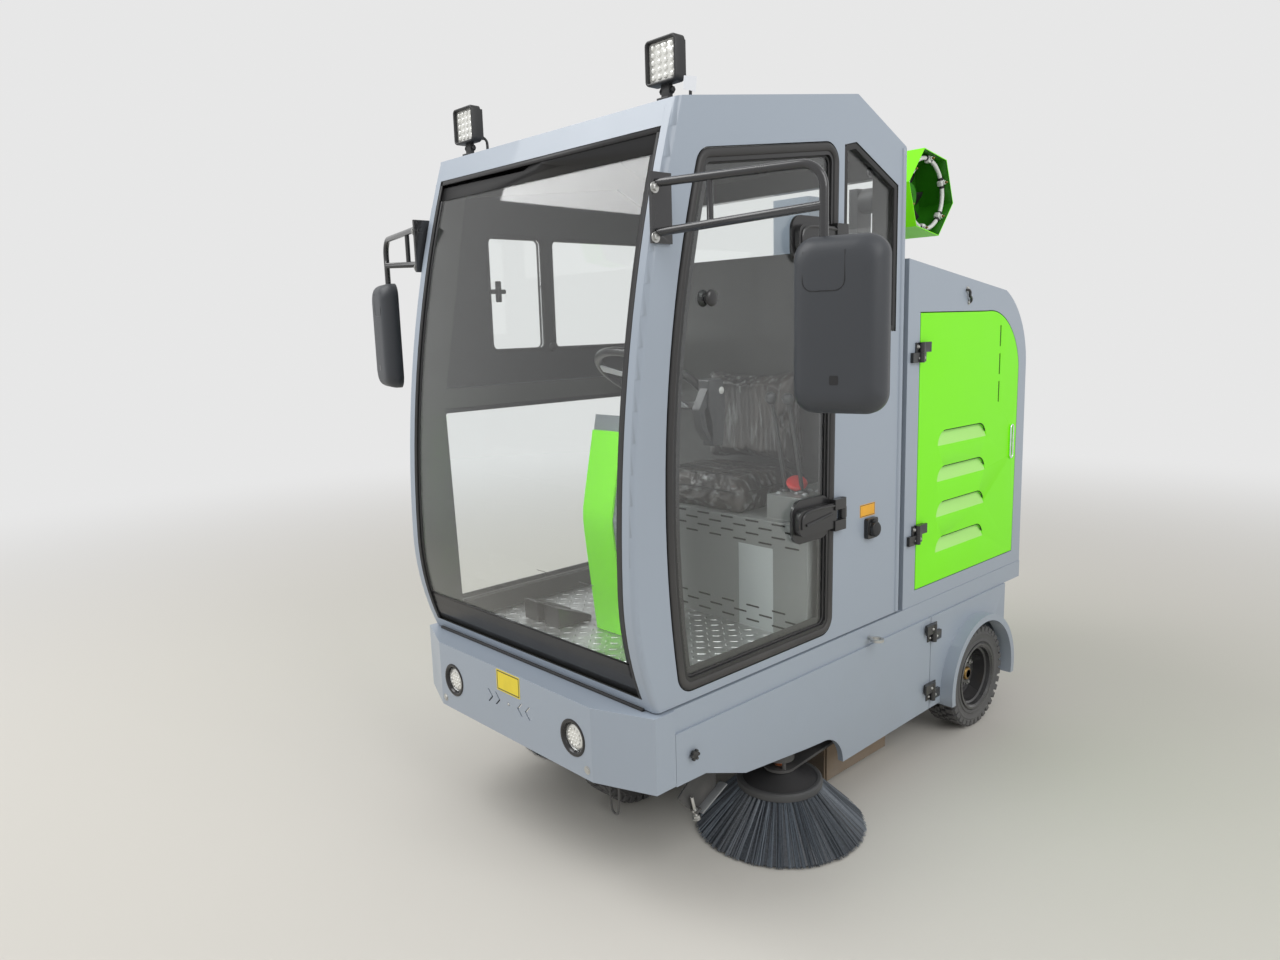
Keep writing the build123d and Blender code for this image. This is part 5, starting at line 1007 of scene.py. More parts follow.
finished("mirror_arms", bm, tube_gloss, "chassis", 22, ["mirrors"])
bm, bm_line, bm_bolts = bmesh.new(), bmesh.new(), bmesh.new()
for side in (-1, 1):
    front = facing(spot(side * mirror_x, mirror_station, mirror_top - mirror_height / 2),
                   (side * sin(mirror_toe), -cos(mirror_toe), 0),
                   (cos(mirror_toe), side * sin(mirror_toe), 0))
    rings = []
    for level, shrink in shell_levels:
        half, tall = mirror_half - shrink, mirror_height / 2 - shrink
        outline = rounded(ruled(-half, -tall, half, tall), shell_corner - 0.25 * shrink, 10)
        rings.append([bm.verts.new(front @ Vector((x, y, level))) for x, y in outline])
    bridged(bm, rings)
    for ring in (rings[0], rings[-1]):
        bm.faces.new(ring)
    bmesh.ops.recalc_face_normals(bm, faces=bm.faces)
    shell = bvhtree.BVHTree.FromBMesh(bm)
    panel = rounded([(-side * panel_half, panel_high), (-side * panel_half, panel_low),
                     (side * panel_far, panel_low), (side * panel_far, panel_high)], 20)
    line = [(panel[6][0], 140)] + panel[7:-7] + [(panel[-7][0], 140)]
    inwards = -front.col[2].xyz.normalized()
    hits = [shell.ray_cast(front @ Vector((x, y, 120)), inwards)[0] for x, y in line]
    tube_along(bm_line, [hit for hit in hits if hit], 0.9, 8, 2)
    plate(bm_line, front, rounded(ruled(-9, -112, 9, -94), 3), 49.2, 49.9)
    for height in root_bolt_heights:
        root = side_face(side * root_bolt_x, root_bolt_station, height, side)
        bolt(bm_bolts, root, 13, 7)
        rod(bm_bolts, moved(root, z=1), 12, 1.4, sides=20)
finished("mirror_shells", bm, shell_satin, "chassis", 60)
finished("mirror_panel_lines", bm_line, band_black, "chassis", 60)
finished("mirror_root_bolts", bm_bolts, zinc, "chassis")

# The cab's floor: a sheet of bright chequer plate with pairs of raised bars that turn at
# right angles from one to the next.
bar_pitch, bar_length, bar_rise, bar_thin = 34, 13, 1.6, 0.26
chequer_steel = bare_metal("chequer_steel", (0.66, 0.67, 0.67), 0.34)
dress("floor_plate", chequer_steel)
floor_low, floor_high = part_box("floor_plate")
floor_size = (floor_high - floor_low) * 1000
floor_corner = (floor_low.x * 1000, (floor_low.y - nose_y) * 1000)
floor_height = (floor_high.z - sill_z) * 1000
bm = bmesh.new()
for column in range(1, int(floor_size.x / bar_pitch)):
    for row in range(1, int(floor_size.y / bar_pitch)):
        seat = top_face(floor_corner[0] + bar_pitch * column,
                        floor_corner[1] + bar_pitch * row, floor_height)
        turn = spun(seat, pi / 4 + pi / 2 * ((column + row) % 2))
        rod(bm, turn @ Matrix.Diagonal((1, bar_thin, 1, 1)), bar_length, bar_rise, 9, sides=8)
finished("floor_bars", bm, chequer_steel, "chassis", 20)

# The steering console: a folded grey box with a lime panel on its front, and a blank
# orange label on its left side.
console_half, label_lean = 80, radians(-9)
panel_line = [(392, 6), (380, 110), (366, 230), (357, 310), (354.5, 345), (356.5, 380),
              (369, 440), (388, 530), (403, 600)]
lime = sprayed(
    "lime", (0.235, 0.93, 0.004), 0.36, 0.03, 0.5, 0.05, {"Specular IOR Level": 0.3})
console_grey = sprayed("console_grey", (0.20, 0.225, 0.24), 0.42, 0.06, 0.9, 0.25)
eased("console_box", console_grey, "chassis", 3, "steering_console")
bm = bmesh.new()
outline = [(s - 7, h) for s, h in panel_line] + [(s + 3, h) for s, h in reversed(panel_line)]
plate(bm, side_face(0), outline, -78, 47, edge=1.2)
finished("console_panel", bm, lime, "chassis", 25)
label_orange = sprayed("label_orange", (0.80, 0.30, 0.03), 0.35, 0.05, 0.5, 0.1)
label_place = spun(moved(side_face(console_half), 462, 548), label_lean)
bm, bm_line = bmesh.new(), bmesh.new()
plate(bm, label_place, ruled(-46, -58, 46, 58), 0.1, 0.5, corner=1)
plate(bm_line, label_place, ruled(-40, -52, 40, 52), 0.4, 0.7, hole=2)
finished("console_label", bm, label_orange, "chassis")
finished("console_label_line", bm_line, band_black, "chassis")

# Steering wheel: a moulded black rim on three wide silver spokes, with a silver hub that
# has a black cap.
wheel_rim, wheel_tube, wheel_tilt = 165, 12.5, radians(32)
wheel_place = facing(spot(0, 560, 736), (0, sin(wheel_tilt), cos(wheel_tilt)), (1, 0, 0))
satin_silver = sprayed(
    "satin_silver", (0.62, 0.64, 0.66), 0.32, 0.05, 0.5, 0.05, {"Metallic": 0.4})


def hoop(radius, pipe):
    """Profile of a round pipe bent to a ring."""
    return [(radius + pipe * cos(a * pi / 8), pipe * sin(a * pi / 8)) for a in range(17)]


bm = bmesh.new()
turned(bm, wheel_place, hoop(wheel_rim, wheel_tube), 72)
turned(bm, wheel_place, [(0, 6), (20, 5.4), (27, 3), (29, -1), (29, -8), (0, -8)], 32)
finished("steering_rim", bm, cast_gloss, "steering_wheel", 50,
         ["steering_wheel"])
bm = bmesh.new()
for degree in (90, 210, 330):
    plate(bm, spun(wheel_place, radians(degree)), [
        (22, -19), (100, -16), (160, -22), (160, 22), (100, 16), (22, 19),
    ], -10, -5.5, corner=3, edge=1.2)
turned(bm, wheel_place, [
    (29.5, 0), (33, -2), (34, -6), (34, -22), (20, -22), (20, -9), (29.5, -9), (29.5, 0)], 32)
finished("steering_spokes", bm, satin_silver, "steering_wheel")

# The seat box: folded sheet with rows of slots drawn as near black plates of painted
# shade, a paler service panel, a control block with a red stop button, two levers in
# rubber feet, and two floor pedals.
seat_front, control_top = 700, 404
slot_rows, slot_pitch, slot_length, slot_half = (326, 308, 288, 266, 70, 48, 26), 96, 49, 2.6
stud_places = ((352, 786), (352, 848), (380, 786), (380, 848), (306, 762))
lever_line, lever_knob = ((800, control_top - 2), (792, 450), (760, 590), (738, 668)), 664
box_grey = sprayed("box_grey", (0.19, 0.20, 0.195), 0.46, 0.08, 0.9, 0.25)
painted_shade_black = moulded("painted_shade_black", (0.008, 0.009, 0.008), 0.85, 300, 0.05, 1.0, 0.0)
box_pale = sprayed("box_pale", (0.40, 0.43, 0.43), 0.40, 0.06, 0.9, 0.2)
eased("seat_box_sheet", box_grey, "chassis", 3, "seat_box")
eased("pedal_pads", cast_gloss, "chassis", 4, "pedals")
bm, bm_panel = bmesh.new(), bmesh.new()
front = front_face(0, seat_front)
# Each slot is a thin near black plate on the face: painted shade where the opening's inside would
# be dark.
for row, height in enumerate(slot_rows):
    for column in range(9):
        left = -440 + slot_pitch * column + (row % 2) * slot_pitch / 2
        slot = ruled(left, height - slot_half, min(left + slot_length, 446), height + slot_half)
        plate(bm, front, rounded(slot, 2.5, 3), 1.2, 1.7)
plate(bm_panel, front, ruled(204, 2, 332, 254), 0, 1, edge=0.4)
finished("seat_box_slot_shades", bm, painted_shade_black, "chassis")
finished("seat_box_panel", bm_panel, box_pale, "chassis")
bm_red, bm_studs, bm_lever = bmesh.new(), bmesh.new(), bmesh.new()
stop = facing(spot(328, 815, control_top + 4), (0.40, -0.45, 1), (1, 0, 0))
turned(bm_red, stop, [
    (0, 38), (16, 37.2), (27, 34), (31, 29), (30, 23), (20, 20), (14, 18), (14, 1), (0, 1)], 36)
turned(bm_lever, stop, [(22, -12), (22, 3), (20, 6), (14, 7), (14, -12), (22, -12)], 32)
for x, station in stud_places:
    bolt(bm_studs, top_face(x, station, control_top), 12, 5)
for x in (300, 360):
    tube_along(bm_lever, [spot(x, station, height) for station, height in lever_line], 6, 12)
    knob = facing(spot(x, lever_line[-1][0], lever_knob), (0, -0.3, 1), (1, 0, 0))
    turned(bm_lever, knob, [
        (0, 34), (8, 33), (14, 28), (16.5, 20), (15, 10), (10, 2), (0, 0)], 24)
    rod(bm_lever, top_face(x, lever_line[0][0], control_top), 20, 10, 15, sides=24, soft=2)
stop_red = sprayed("stop_red", (0.72, 0.03, 0.03), 0.30, 0.05, 0.5, 0.05, {"Coat Weight": 0.4})
lever_black = moulded("lever_black", (0.050, 0.052, 0.054), 0.30, 500, 0.05, 1.0, 0.1)
finished("stop_button", bm_red, stop_red, "chassis")
finished("control_studs", bm_studs, satin_silver, "chassis")
finished("drive_levers", bm_lever, lever_black, "chassis", 50)

# Seat cushions: foam in dark vinyl that swells between its corners, with a piped seam
# round each, and the clear film of delivery still on, drawn into long wrinkles, with pale
# streaks along its creases as painted highlight.
cushion_pressure, cushion_cap, cushion_voxel, cloth_steps = 4.0, 0.024, 0.006, 20
wrinkle_scale, wrinkle_height, crease_scale, crease_height = 42, 0.0016, 120, 0.0008
piping_radius, piping_steps = 2.6, 72
vinyl, film_clear = (0.020, 0.016, 0.013), {"Coat Weight": 1.0, "Coat Roughness": 0.06}
vinyl_dark, vinyl_brown = (0.016, 0.014, 0.012), (0.055, 0.042, 0.032)
film_painted_highlight = (0.34, 0.35, 0.35)
cushions = (
    ("seat_bottom", (-216, 700, 338), (216, 1050, 414), (0.30, 1.0, 0.6), 398, ["seat_cushions"]),
    ("seat_back", (-196, 998, 434), (196, 1052, 744), (1.0, 1.0, 0.16), 0, ()),
)


def as_seen(made):
    """The mesh of an object with its modifiers applied. The object itself goes."""
    now = bpy.context.evaluated_depsgraph_get()
    shape = bpy.data.meshes.new_from_object(made.evaluated_get(now))
    bpy.data.objects.remove(made)
    return shape


for word, low, high, run, seam, stands_for in cushions:
    film, tree, shader = start_finish(word + "_vinyl", vinyl, 0.55, film_clear)
    creases = grain(tree, 60, 5, run)
    # Pale streaks along the creases are painted highlight: the glint of the film, put into the
    # colour.
    bright = between(tree, creases, 0.54, 0.68, 0.0, 0.55)
    brown = between(tree, grain(tree, 14, 3, run), 0.4, 0.7, 0.0, 1.0)
    under = tint(tree, brown, vinyl_dark, vinyl_brown)
    wire(tree, (tint(tree, bright, under, film_painted_highlight), shader.inputs["Base Color"]))
    relief(tree, shader, [grain(tree, 26, 4, run), creases], 0.6, 0.004, "Coat Normal")
    relief(tree, shader, [grain(tree, 700, 2)], 0.15, 0.001)
    bm = bmesh.new()
    block(bm, top_face(), low, high, 24, 4)
    start = place_mesh(word + "_start", bm)
    even = start.modifiers.new("even", "REMESH")
    even.mode = "VOXEL"
    even.voxel_size = cushion_voxel
    shape = as_seen(start)
    cushion = bpy.data.objects.new(word, shape)
    scene.collection.objects.link(cushion)
    rest = [v.co.copy() for v in shape.vertices]
    cloth = cushion.modifiers.new("cloth", "CLOTH")
    cloth.settings.use_pressure = True
    cloth.settings.uniform_pressure_force = cushion_pressure
    cloth.settings.effector_weights.gravity = 0
    for step in range(1, cloth_steps + 1):
        scene.frame_set(step)
    swollen = cushion.evaluated_get(bpy.context.evaluated_depsgraph_get()).data
    moved_to = [v.co.copy() for v in swollen.vertices]
    cushion.modifiers.clear()
    scene.frame_set(1)
    for v, before, after in zip(shape.vertices, rest, moved_to):
        push = after - before
        v.co = before + push * min(1.0, cushion_cap / max(push.length, 1e-6))
    fine = cushion.modifiers.new("fine", "SUBSURF")
    fine.levels = fine.render_levels = 1
    shape = as_seen(cushion)
    bm = bmesh.new()
    bm.from_mesh(shape)
    bpy.data.meshes.remove(shape)
    bm.normal_update()
    wrinkles = []
    for v in bm.verts:
        where = Vector(a * b for a, b in zip(v.co, run))
        ridge = 1 - abs(noise.noise(where * wrinkle_scale)) * 2.2
        wrinkles.append(v.normal * (
            wrinkle_height * ridge ** 3 + crease_height * noise.noise(where * crease_scale)))
    for v, wrinkle in zip(bm.verts, wrinkles):
        v.co += wrinkle
        v.co.z = max(v.co.z, up(low[2] - 3))
        v.co.y = min(v.co.y, at(high[1] + 9))
    skin = bvhtree.BVHTree.FromBMesh(bm)
    cushion = finished(word + "_cushion", bm, film, "chassis", 70, stands_for)
    middle = spot(0, (low[1] + high[1]) / 2, seam or (low[2] + high[2]) / 2)
    line = []
    for step in range(piping_steps + 1):
        turn = 2 * pi * step / piping_steps
        out = Vector((cos(turn), sin(turn), 0) if seam else (cos(turn), 0, sin(turn)))
        line.append(skin.ray_cast(middle + out * 0.6, -out)[0])
    bm = bmesh.new()
    tube_along(bm, [hit for hit in line if hit], piping_radius, 8, 3)
    piping = moulded(word + "_piping", (0.015, 0.014, 0.013), 0.4, 700, 0.1, 1.0, 0.05)
    finished(word + "_piping", bm, piping, "chassis", 60)

# The body behind the cab: folded sheet sprayed as the cab, with a rolled rear corner.
# A half-round strip closes the cab's back edge beside it.
body_half, strip_x, strip_station = 492, 487, 1102
eased("housing_shell", cab_grey, "chassis", 3, "body_housing")
bm = bmesh.new()
for side in (-1, 1):
    tube_along(bm, [spot(side * strip_x, strip_station, h) for h in (8, 700, 1364)], 10, 12, 2)
finished("cab_edge_strips", bm, cab_grey, "chassis", 60)

# Green side doors: a flat sheet folded back at its edges, four louvres pressed inwards,
# three slots and a chromed pull in an oval frame. A dark line of painted shadow runs
# under the top edge of each louvre, and the slots are near black plates of painted shade.
# The inside of each louvre is matt, its upward faces a paler lime as painted light.
louvre_front, louvre_rear, louvre_height, louvre_step = 1329, 1647, 48, 30
louvre_heights = (147, 262, 377, 492)
slot_station, slot_spans = 1730, ((600, 672), (694, 766), (788, 860))
pull_station, pull_height = 1834, 454
hinge_station, hinge_heights, knuckle_back, leaf_back = 1202, (230, 790), 1208, 1300
hook_line = ((1480, 974, 1), (1484, 976, 7), (1492, 968, 9), (1488, 956, 9), (1500, 950, 9),
             (1506, 938, 6), (1500, 934, 1))
lime_painted_light = sprayed("lime_painted_light", (0.45, 0.88, 0.22), 0.55, 0.06, 0.5, 0.05)


def recolour(made, finish, chosen):
    """A second finish on the faces of a piece that a test picks."""
    made.data.materials.append(finish)
    for face in made.data.polygons:
        if chosen(face):
            face.material_index = len(made.data.materials) - 1


for side, word in ((1, "left"), (-1, "right")):
    body = "body_door_" + word
    door = eased("housing_door_" + word, lime, body, 1.6, body)
    # Upward, outward faces inside each louvre take a paler lime: painted light, as if the sky lit
    # them from above.
    recolour(door, lime_painted_light, lambda face: (
        abs(face.center.x) < (body_half - 0.4) / 1000
        and at(louvre_front) < face.center.y < at(louvre_rear)
        and face.normal.z > 0.1 and face.normal.x * side > 0.3))
    recolour(door, cast_gloss, lambda face: (
        face.center.y < at(knuckle_back)
        or abs(face.center.x) > (body_half + 4.4) / 1000 and face.center.y < at(leaf_back)))
    bm_gap_shade, bm_chrome, bm_bolts, bm_leaves, bm_body_leaves, bm_body_bolts = (
        bmesh.new() for count in range(6))
    for low in louvre_heights:
        rim = rounded(ruled(louvre_front, low, louvre_rear, low + louvre_height),
                      louvre_height - 1.5, 8)
        upper = sorted((p for p in rim if p[1] > low + louvre_height * 0.35),
                       key=lambda p: p[0])
        # A thin dark tube under each louvre's upper edge is painted shadow, where the sheet
        # overhangs the recess.
        tube_along(bm_gap_shade, [spot(side * (body_half - 2.0), x, y - 1.5) for x, y in upper
                            if x > louvre_front + louvre_step], 1.6, 8, 2)
    level = side * (body_half - 2)
    # The slots are near black plates on the face: painted shade in the openings.
    for low, high in slot_spans:
        outline = rounded(ruled(slot_station - 4, low, slot_station + 4, high), 3.9)
        plate(bm_gap_shade, side_face(0), outline, level - 0.4, level + 0.4)
    pull = side_face(side * (body_half + 4), pull_station, pull_height, side)
    bead(bm_chrome, pull, rounded(ruled(-10, -58, 10, 58), 9.9), 3.2, 0.9, level=0.4)
    plate(bm_chrome, pull, rounded(ruled(-6, -54, 6, 54), 5.9), -9.5, -8.5)
    plate(bm_chrome, pull, rounded(ruled(-4, -50, 4, 30), 3.9), -6, -1, edge=1.5)
    for height in hinge_heights:
        leaf = side_face(side * body_half, hinge_station, height, side)
        block(bm_leaves, leaf, (5, -29, 0.3), (36, 29, 5), 1.2)
        block(bm_body_leaves, leaf, (-23, -29, 0.3), (-2, 29, 5), 1.2)
        for along, bolts in ((21, bm_bolts), (-13, bm_body_bolts)):
            for rise in (-17, 17):
                seat = moved(leaf, along, rise, 4.8)
                rod(bolts, seat, 7.5, 1.2, sides=18)
                rod(bolts, seat, 5, 5.4, 3.6, sides=14, soft=0.8)
    finished("louvre_shadow_lines_" + word, bm_gap_shade, painted_shade_black, body, 60)
    finished("housing_pull_" + word, bm_chrome, chrome, body, 50)
    finished("housing_hinge_bolts_" + word, bm_bolts, zinc, body)
    finished("housing_hinge_leaves_" + word, bm_leaves, cast_gloss, body)
    finished("housing_body_bolts_" + word, bm_body_bolts, zinc, "chassis")
    finished("housing_body_leaves_" + word, bm_body_leaves, cast_gloss, "chassis")
bm = bmesh.new()
hook = side_face(body_half)
tube_along(bm, [hook @ Vector(point) for point in hook_line], 4.5, 10)
finished("housing_hook", bm, cast_gloss, "chassis", 60)
bm = bmesh.new()
for station, rise in ((1488, 978), (1500, 936)):
    bolt(bm, moved(hook, station, rise), 11, 5)
finished("housing_hook_bolts", bm, zinc, "chassis")

# The rear door of the body: folded sheet sprayed lime, with a black moulded handle, on
# two black hinges.
door_skin, rear_hinge_x = 1942.8, -0.3802
door = eased("rear_door_sheet", lime, "rear_door", 1.8, "rear_door")
recolour(door, cast_gloss, lambda face: (
    face.center.y > at(door_skin) and face.center.x > 0 or face.center.x < rear_hinge_x))

# Lower skirts: bent sheet doors hung at their back edge, a welded rear skirt with an
# arched lip over each tyre, and lashing eyes screwed into the sill beam.
skirt_hinge_heights, leaf_station, fixed_station, pin_station = (-110, -310), 1289, 1321, 1305
leaf_rise, leaf_face, fixed_face, plate_face, hinge_out = 16, 514, 509.6, 503, 0.5008
hinge_from, door_edge, fixed_to = 1240, 1299.5, 1345
knob_station, knob_height = 184, -128
for side, word in ((1, "left"), (-1, "right")):
    body = "skirt_door_" + word
    lower = eased("lower_door_" + word, cab_grey, body, 1.6, body)
    recolour(lower, cast_gloss, lambda face: face.center.y > at(hinge_from) and (
        abs(face.center.x) > hinge_out or face.center.y > at(door_edge)))
    bm, bm_hinge, bm_leaf, bm_screw = (bmesh.new() for count in range(4))
    for level in skirt_hinge_heights:
        for station, leaves, bolts, thick, face_x in (
            (leaf_station, bm_leaf, bm_screw, 1, leaf_face),
            (fixed_station, bm_hinge, bm, -1, fixed_face),
        ):
            block(leaves, side_face(side * 500.2, station, level, side),
                  (-13, -29, 0), (13, 29, 3.4), 1.2)
            for rise in (-leaf_rise, leaf_rise):
                outer = face_x if rise * thick > 0 else plate_face
                seat = side_face(side * outer, station, level + rise, side)
                rod(bolts, seat, 5, 4.4, 3.4, sides=14, soft=0.8)
        rod(bm_hinge, top_face(side * 508, pin_station, level - 29), 6, 58, sides=16, soft=1)
    finished("skirt_hinges_" + word, bm_hinge, cast_gloss, "chassis")
    finished("skirt_hinge_bolts_" + word, bm, zinc, "chassis")
    finished("skirt_leaves_" + word, bm_leaf, cast_gloss, body)
    finished("skirt_leaf_bolts_" + word, bm_screw, zinc, body)
skirt = eased("rear_skirt_sheet", cab_grey, "chassis", 2, "rear_skirt")
recolour(skirt, cast_gloss, lambda face: (
    face.center.y < at(fixed_to) and abs(face.center.x) > hinge_out))
for side, word in ((1, "left"), (-1, "right")):
    bm = bmesh.new()
    seat = side_face(side * 500, knob_station, knob_height, side)
    turned(bm, seat, [
        (0, 13.5), (5, 13), (9, 11), (10, 8), (10, 4), (7, 3), (7, 0), (0, 0)], 24)
    for lobe in range(6):
        turn = moved(spun(seat, 2 * pi * lobe / 6), 10.5, 0, 4)
        rod(bm, turn, 4.2, 8, sides=14, soft=1.2)
    finished("skirt_knob_" + word, bm, cast_gloss, "skirt_door_" + word)
eased("lashing_rings", zinc, "chassis", 0.8, "lashing_eyes", sharp=60)

# The charging inlet: a black square flange on four screws with a round cap, and a blank
# yellow label above it.
inlet_station, inlet_height, cap_station, cap_height = 949, 296, 951, 293
sticker_front, sticker_low, sticker_back, sticker_high = 901, 331, 978, 368
cap_black = moulded("cap_black", (0.022, 0.023, 0.025), 0.6, 900, 0.15, 0.5, 0.1)
charge_label = printed(
    "charge_label", (0.86, 0.42, 0.02), spot(cab_half, sticker_front, sticker_low),
    spot(cab_half, sticker_back, sticker_high), (1, 2), 0.0035)
eased("charging_inlet_body", cast_gloss, "chassis", 2, "charging_socket", steps=3)
bm = bmesh.new()
for along in (-21, 21):
    for rise in (-25, 25):
        seat = moved(side_face(0), inlet_station + along, inlet_height + rise, 497.5)
        rod(bm, seat, 3.6, 2.6, 2.8, sides=14, soft=0.6)
finished("charging_inlet_screws", bm, zinc, "chassis")
bm = bmesh.new()
turned(bm, moved(side_face(0), cap_station, cap_height), [
    (0, 519), (15, 518.6), (19, 517), (21, 513), (21, 500), (0, 500)], 36)
block(bm, side_face(0), (940, 311, 500), (958, 322, 512), 2)
finished("charging_inlet_cap", bm, cap_black, "chassis", 40)
bm = bmesh.new()
outline = ruled(sticker_front, sticker_low, sticker_back, sticker_high)
plate(bm, side_face(cab_half), outline, 0, 0.5, corner=2)
finished("charging_label", bm, charge_label, "chassis")

# Under the machine: the roller's steel housing with worn tan rubber flaps, the roller of
# stiff bristles, the dust hopper, and the heavy pieces inside the body.
roller_radius, roller_core, roller_half = 147, 66, 343
roller_rows, row_tufts, tuft_strands, row_reach, roller_seed = 10, 46, 5, 330, 5
strand_section = ((-1.3, -1), (1.3, -1), (0, 1.4))
flap_tan = moulded("flap_tan", (0.235, 0.165, 0.100), 0.75, 500, 0.25, 0.30, 0.5)
bristle_black = moulded("bristle_black", (0.030, 0.034, 0.040), 0.55, 900, 0.35, 0.25, 0.35)
eased("roller_housing", frame_black, "chassis", 2, "brush_housing")
eased("roller_flaps", flap_tan, "chassis", 1.2, "brush_flaps")
eased("dust_box", frame_black, "dust_hopper", 2, "dust_hopper")
dress("battery", moulded("cell_black", (0.030, 0.032, 0.036), 0.5))
dress("water_tank", moulded(
    "tank_white", (0.55, 0.60, 0.62), 0.35, 500, 0.08, 0.9, 0.1, {"Subsurface Weight": 0.1}))


def skinned(bm, ring):
    """The three sides of a strand between its two rings, and the end at its tip."""
    for a, b in ((0, 1), (1, 2), (2, 0)):
        bm.faces.new((ring[0][a], ring[0][b], ring[1][b], ring[1][a]))
    bm.faces.new(ring[1])


roller = side_face(0, 1060, -368)
bm, bm_bristles = bmesh.new(), bmesh.new()
turned(bm, roller, [
    (0, -roller_half), (roller_core - 4, -roller_half), (roller_core, 4 - roller_half),
    (roller_core, roller_half - 4), (roller_core - 4, roller_half), (0, roller_half)], 40)
random.seed(roller_seed)
for row in range(roller_rows):
    for tuft in range(row_tufts):
        along = -row_reach + 2 * row_reach * tuft / (row_tufts - 1)
        for strand in range(tuft_strands):
            angle = 2 * pi * row / roller_rows + along / 300 + random.gauss(0, 0.05)
            shift = max(-340, min(340, along + random.gauss(0, 2.5)))
            turn = moved(spun(roller, angle), z=shift)
            skinned(bm_bristles, [
                [bm_bristles.verts.new(turn @ Vector((radius, y, z))) for y, z in strand_section]
                for radius in (roller_core - 2, roller_radius - 5 * random.random())])
finished("roller_core", bm, frame_black, "main_brush", stands_for=["main_brush"])
finished("roller_bristles", bm_bristles, bristle_black, "main_brush", 50)

# Side brushes: a moulded disc with a raised rim, set with bundles of stiff straight
# bristles that fan out to the ground, under a steel arm with a hydraulic motor.
brush_x, brush_station, brush_seed = 419, 620, 11
tufts, strands_each, root_radius, tip_radius, strand_thick = 52, 44, 84, 192, 0.0011
strand_dark, strand_painted_highlight = (0.022, 0.026, 0.033), (0.170, 0.200, 0.236)
brush_dark = moulded("brush_dark", (0.016, 0.016, 0.018), 0.55, 500, 0.15, 0.4, 0.12)
brush_rim = moulded("brush_rim", (0.052, 0.054, 0.057), 0.50, 500, 0.15, 0.4, 0.15)
copper = bare_metal("copper", (0.72, 0.34, 0.18), 0.30)
# Strands take a tone from dark to pale blue-grey that varies at random by tuft and strand: partly
# the bristles' own tone, partly painted highlight for the sheen along them.
strand_finish, tree, shader = start_finish("strands", (0.040, 0.047, 0.056), 0.42)
own_tone_and_highlight = add_node(tree, "Attribute", attribute_name="shade").outputs["Fac"]
share = joined(tree, "ADD", own_tone_and_highlight, between(tree, grain(tree, 200), 0.4, 0.7, 0.0, 0.2))
wire(tree, (tint(tree, share, strand_dark, strand_painted_highlight), shader.inputs["Base Color"]))
relief(tree, shader, [grain(tree, 300, 2, (1, 1, 0.1))], 0.3, 0.001)
for side, word in ((1, "left"), (-1, "right")):
    body = "side_brush_" + word
    place = top_face(side * brush_x, brush_station, ground)
    bm = bmesh.new()
    turned(bm, place, [
        (0, 168), (38, 167), (44, 162), (104, 142), (112, 141), (112, 133), (70, 128), (0, 126),
    ], 64)
    finished("brush_disc_" + word, bm, brush_dark, body, stands_for=[body])
    bm = bmesh.new()
    turned(bm, place, [
        (103, 141), (107, 144.5), (115, 144.5), (120, 141), (121.5, 134), (120, 124), (112, 124),
        (108, 134), (103, 141),
    ], 64)
    finished("brush_rim_" + word, bm, brush_rim, body)
    bm = bmesh.new()
    shade = bm.verts.layers.float.new("shade")
    turned(bm, place, [(112, 124), (236, 8), (232, 6), (188, 6), (78, 124)], 64)
    random.seed(brush_seed + side)
    for tuft in range(tufts):
        tuft_tone = 0.12 + 0.5 * random.random() ** 1.5
        for strand in range(strands_each):
            angle = 2 * pi * (tuft + random.gauss(0, 0.17) + 0.5) / tufts
            share = random.random()
            root_r, tip_r = root_radius + 34 * share, tip_radius + 51 * share ** 0.5
            tip_angle = angle + random.gauss(0, 0.022)
            tip_z = 3.2 + random.random() * 5
            root = place @ Vector((root_r * cos(angle), root_r * sin(angle), 126))
            tip = place @ Vector((tip_r * cos(tip_angle), tip_r * sin(tip_angle), tip_z))
            across = (tip - root).cross(Vector((0, 0, 1))).normalized() * strand_thick
            out = across.cross(tip - root).normalized() * strand_thick
            ring = [[bm.verts.new(end + step) for step in (across, -across, out)]
                    for end in (root, tip)]
            tone = max(0.0, tuft_tone + random.gauss(0, 0.16))
            for v in ring[0] + ring[1]:
                v[shade] = tone
            skinned(bm, ring)
            bm.faces.new(ring[0][::-1])
    finished("brush_strands_" + word, bm, strand_finish, body, 50)
    bm = bmesh.new()
    rod(bm, moved(place, z=178), 16, 2, sides=24, soft=0.5)
    rod(bm, moved(place, z=179), 10.5, 12, sides=6, soft=1)
    finished("brush_nut_" + word, bm, copper, body)
    eased("brush_arm_sheet_" + word, frame_black, "brush_arm_" + word, 2,
          "side_brush_arm_" + word)

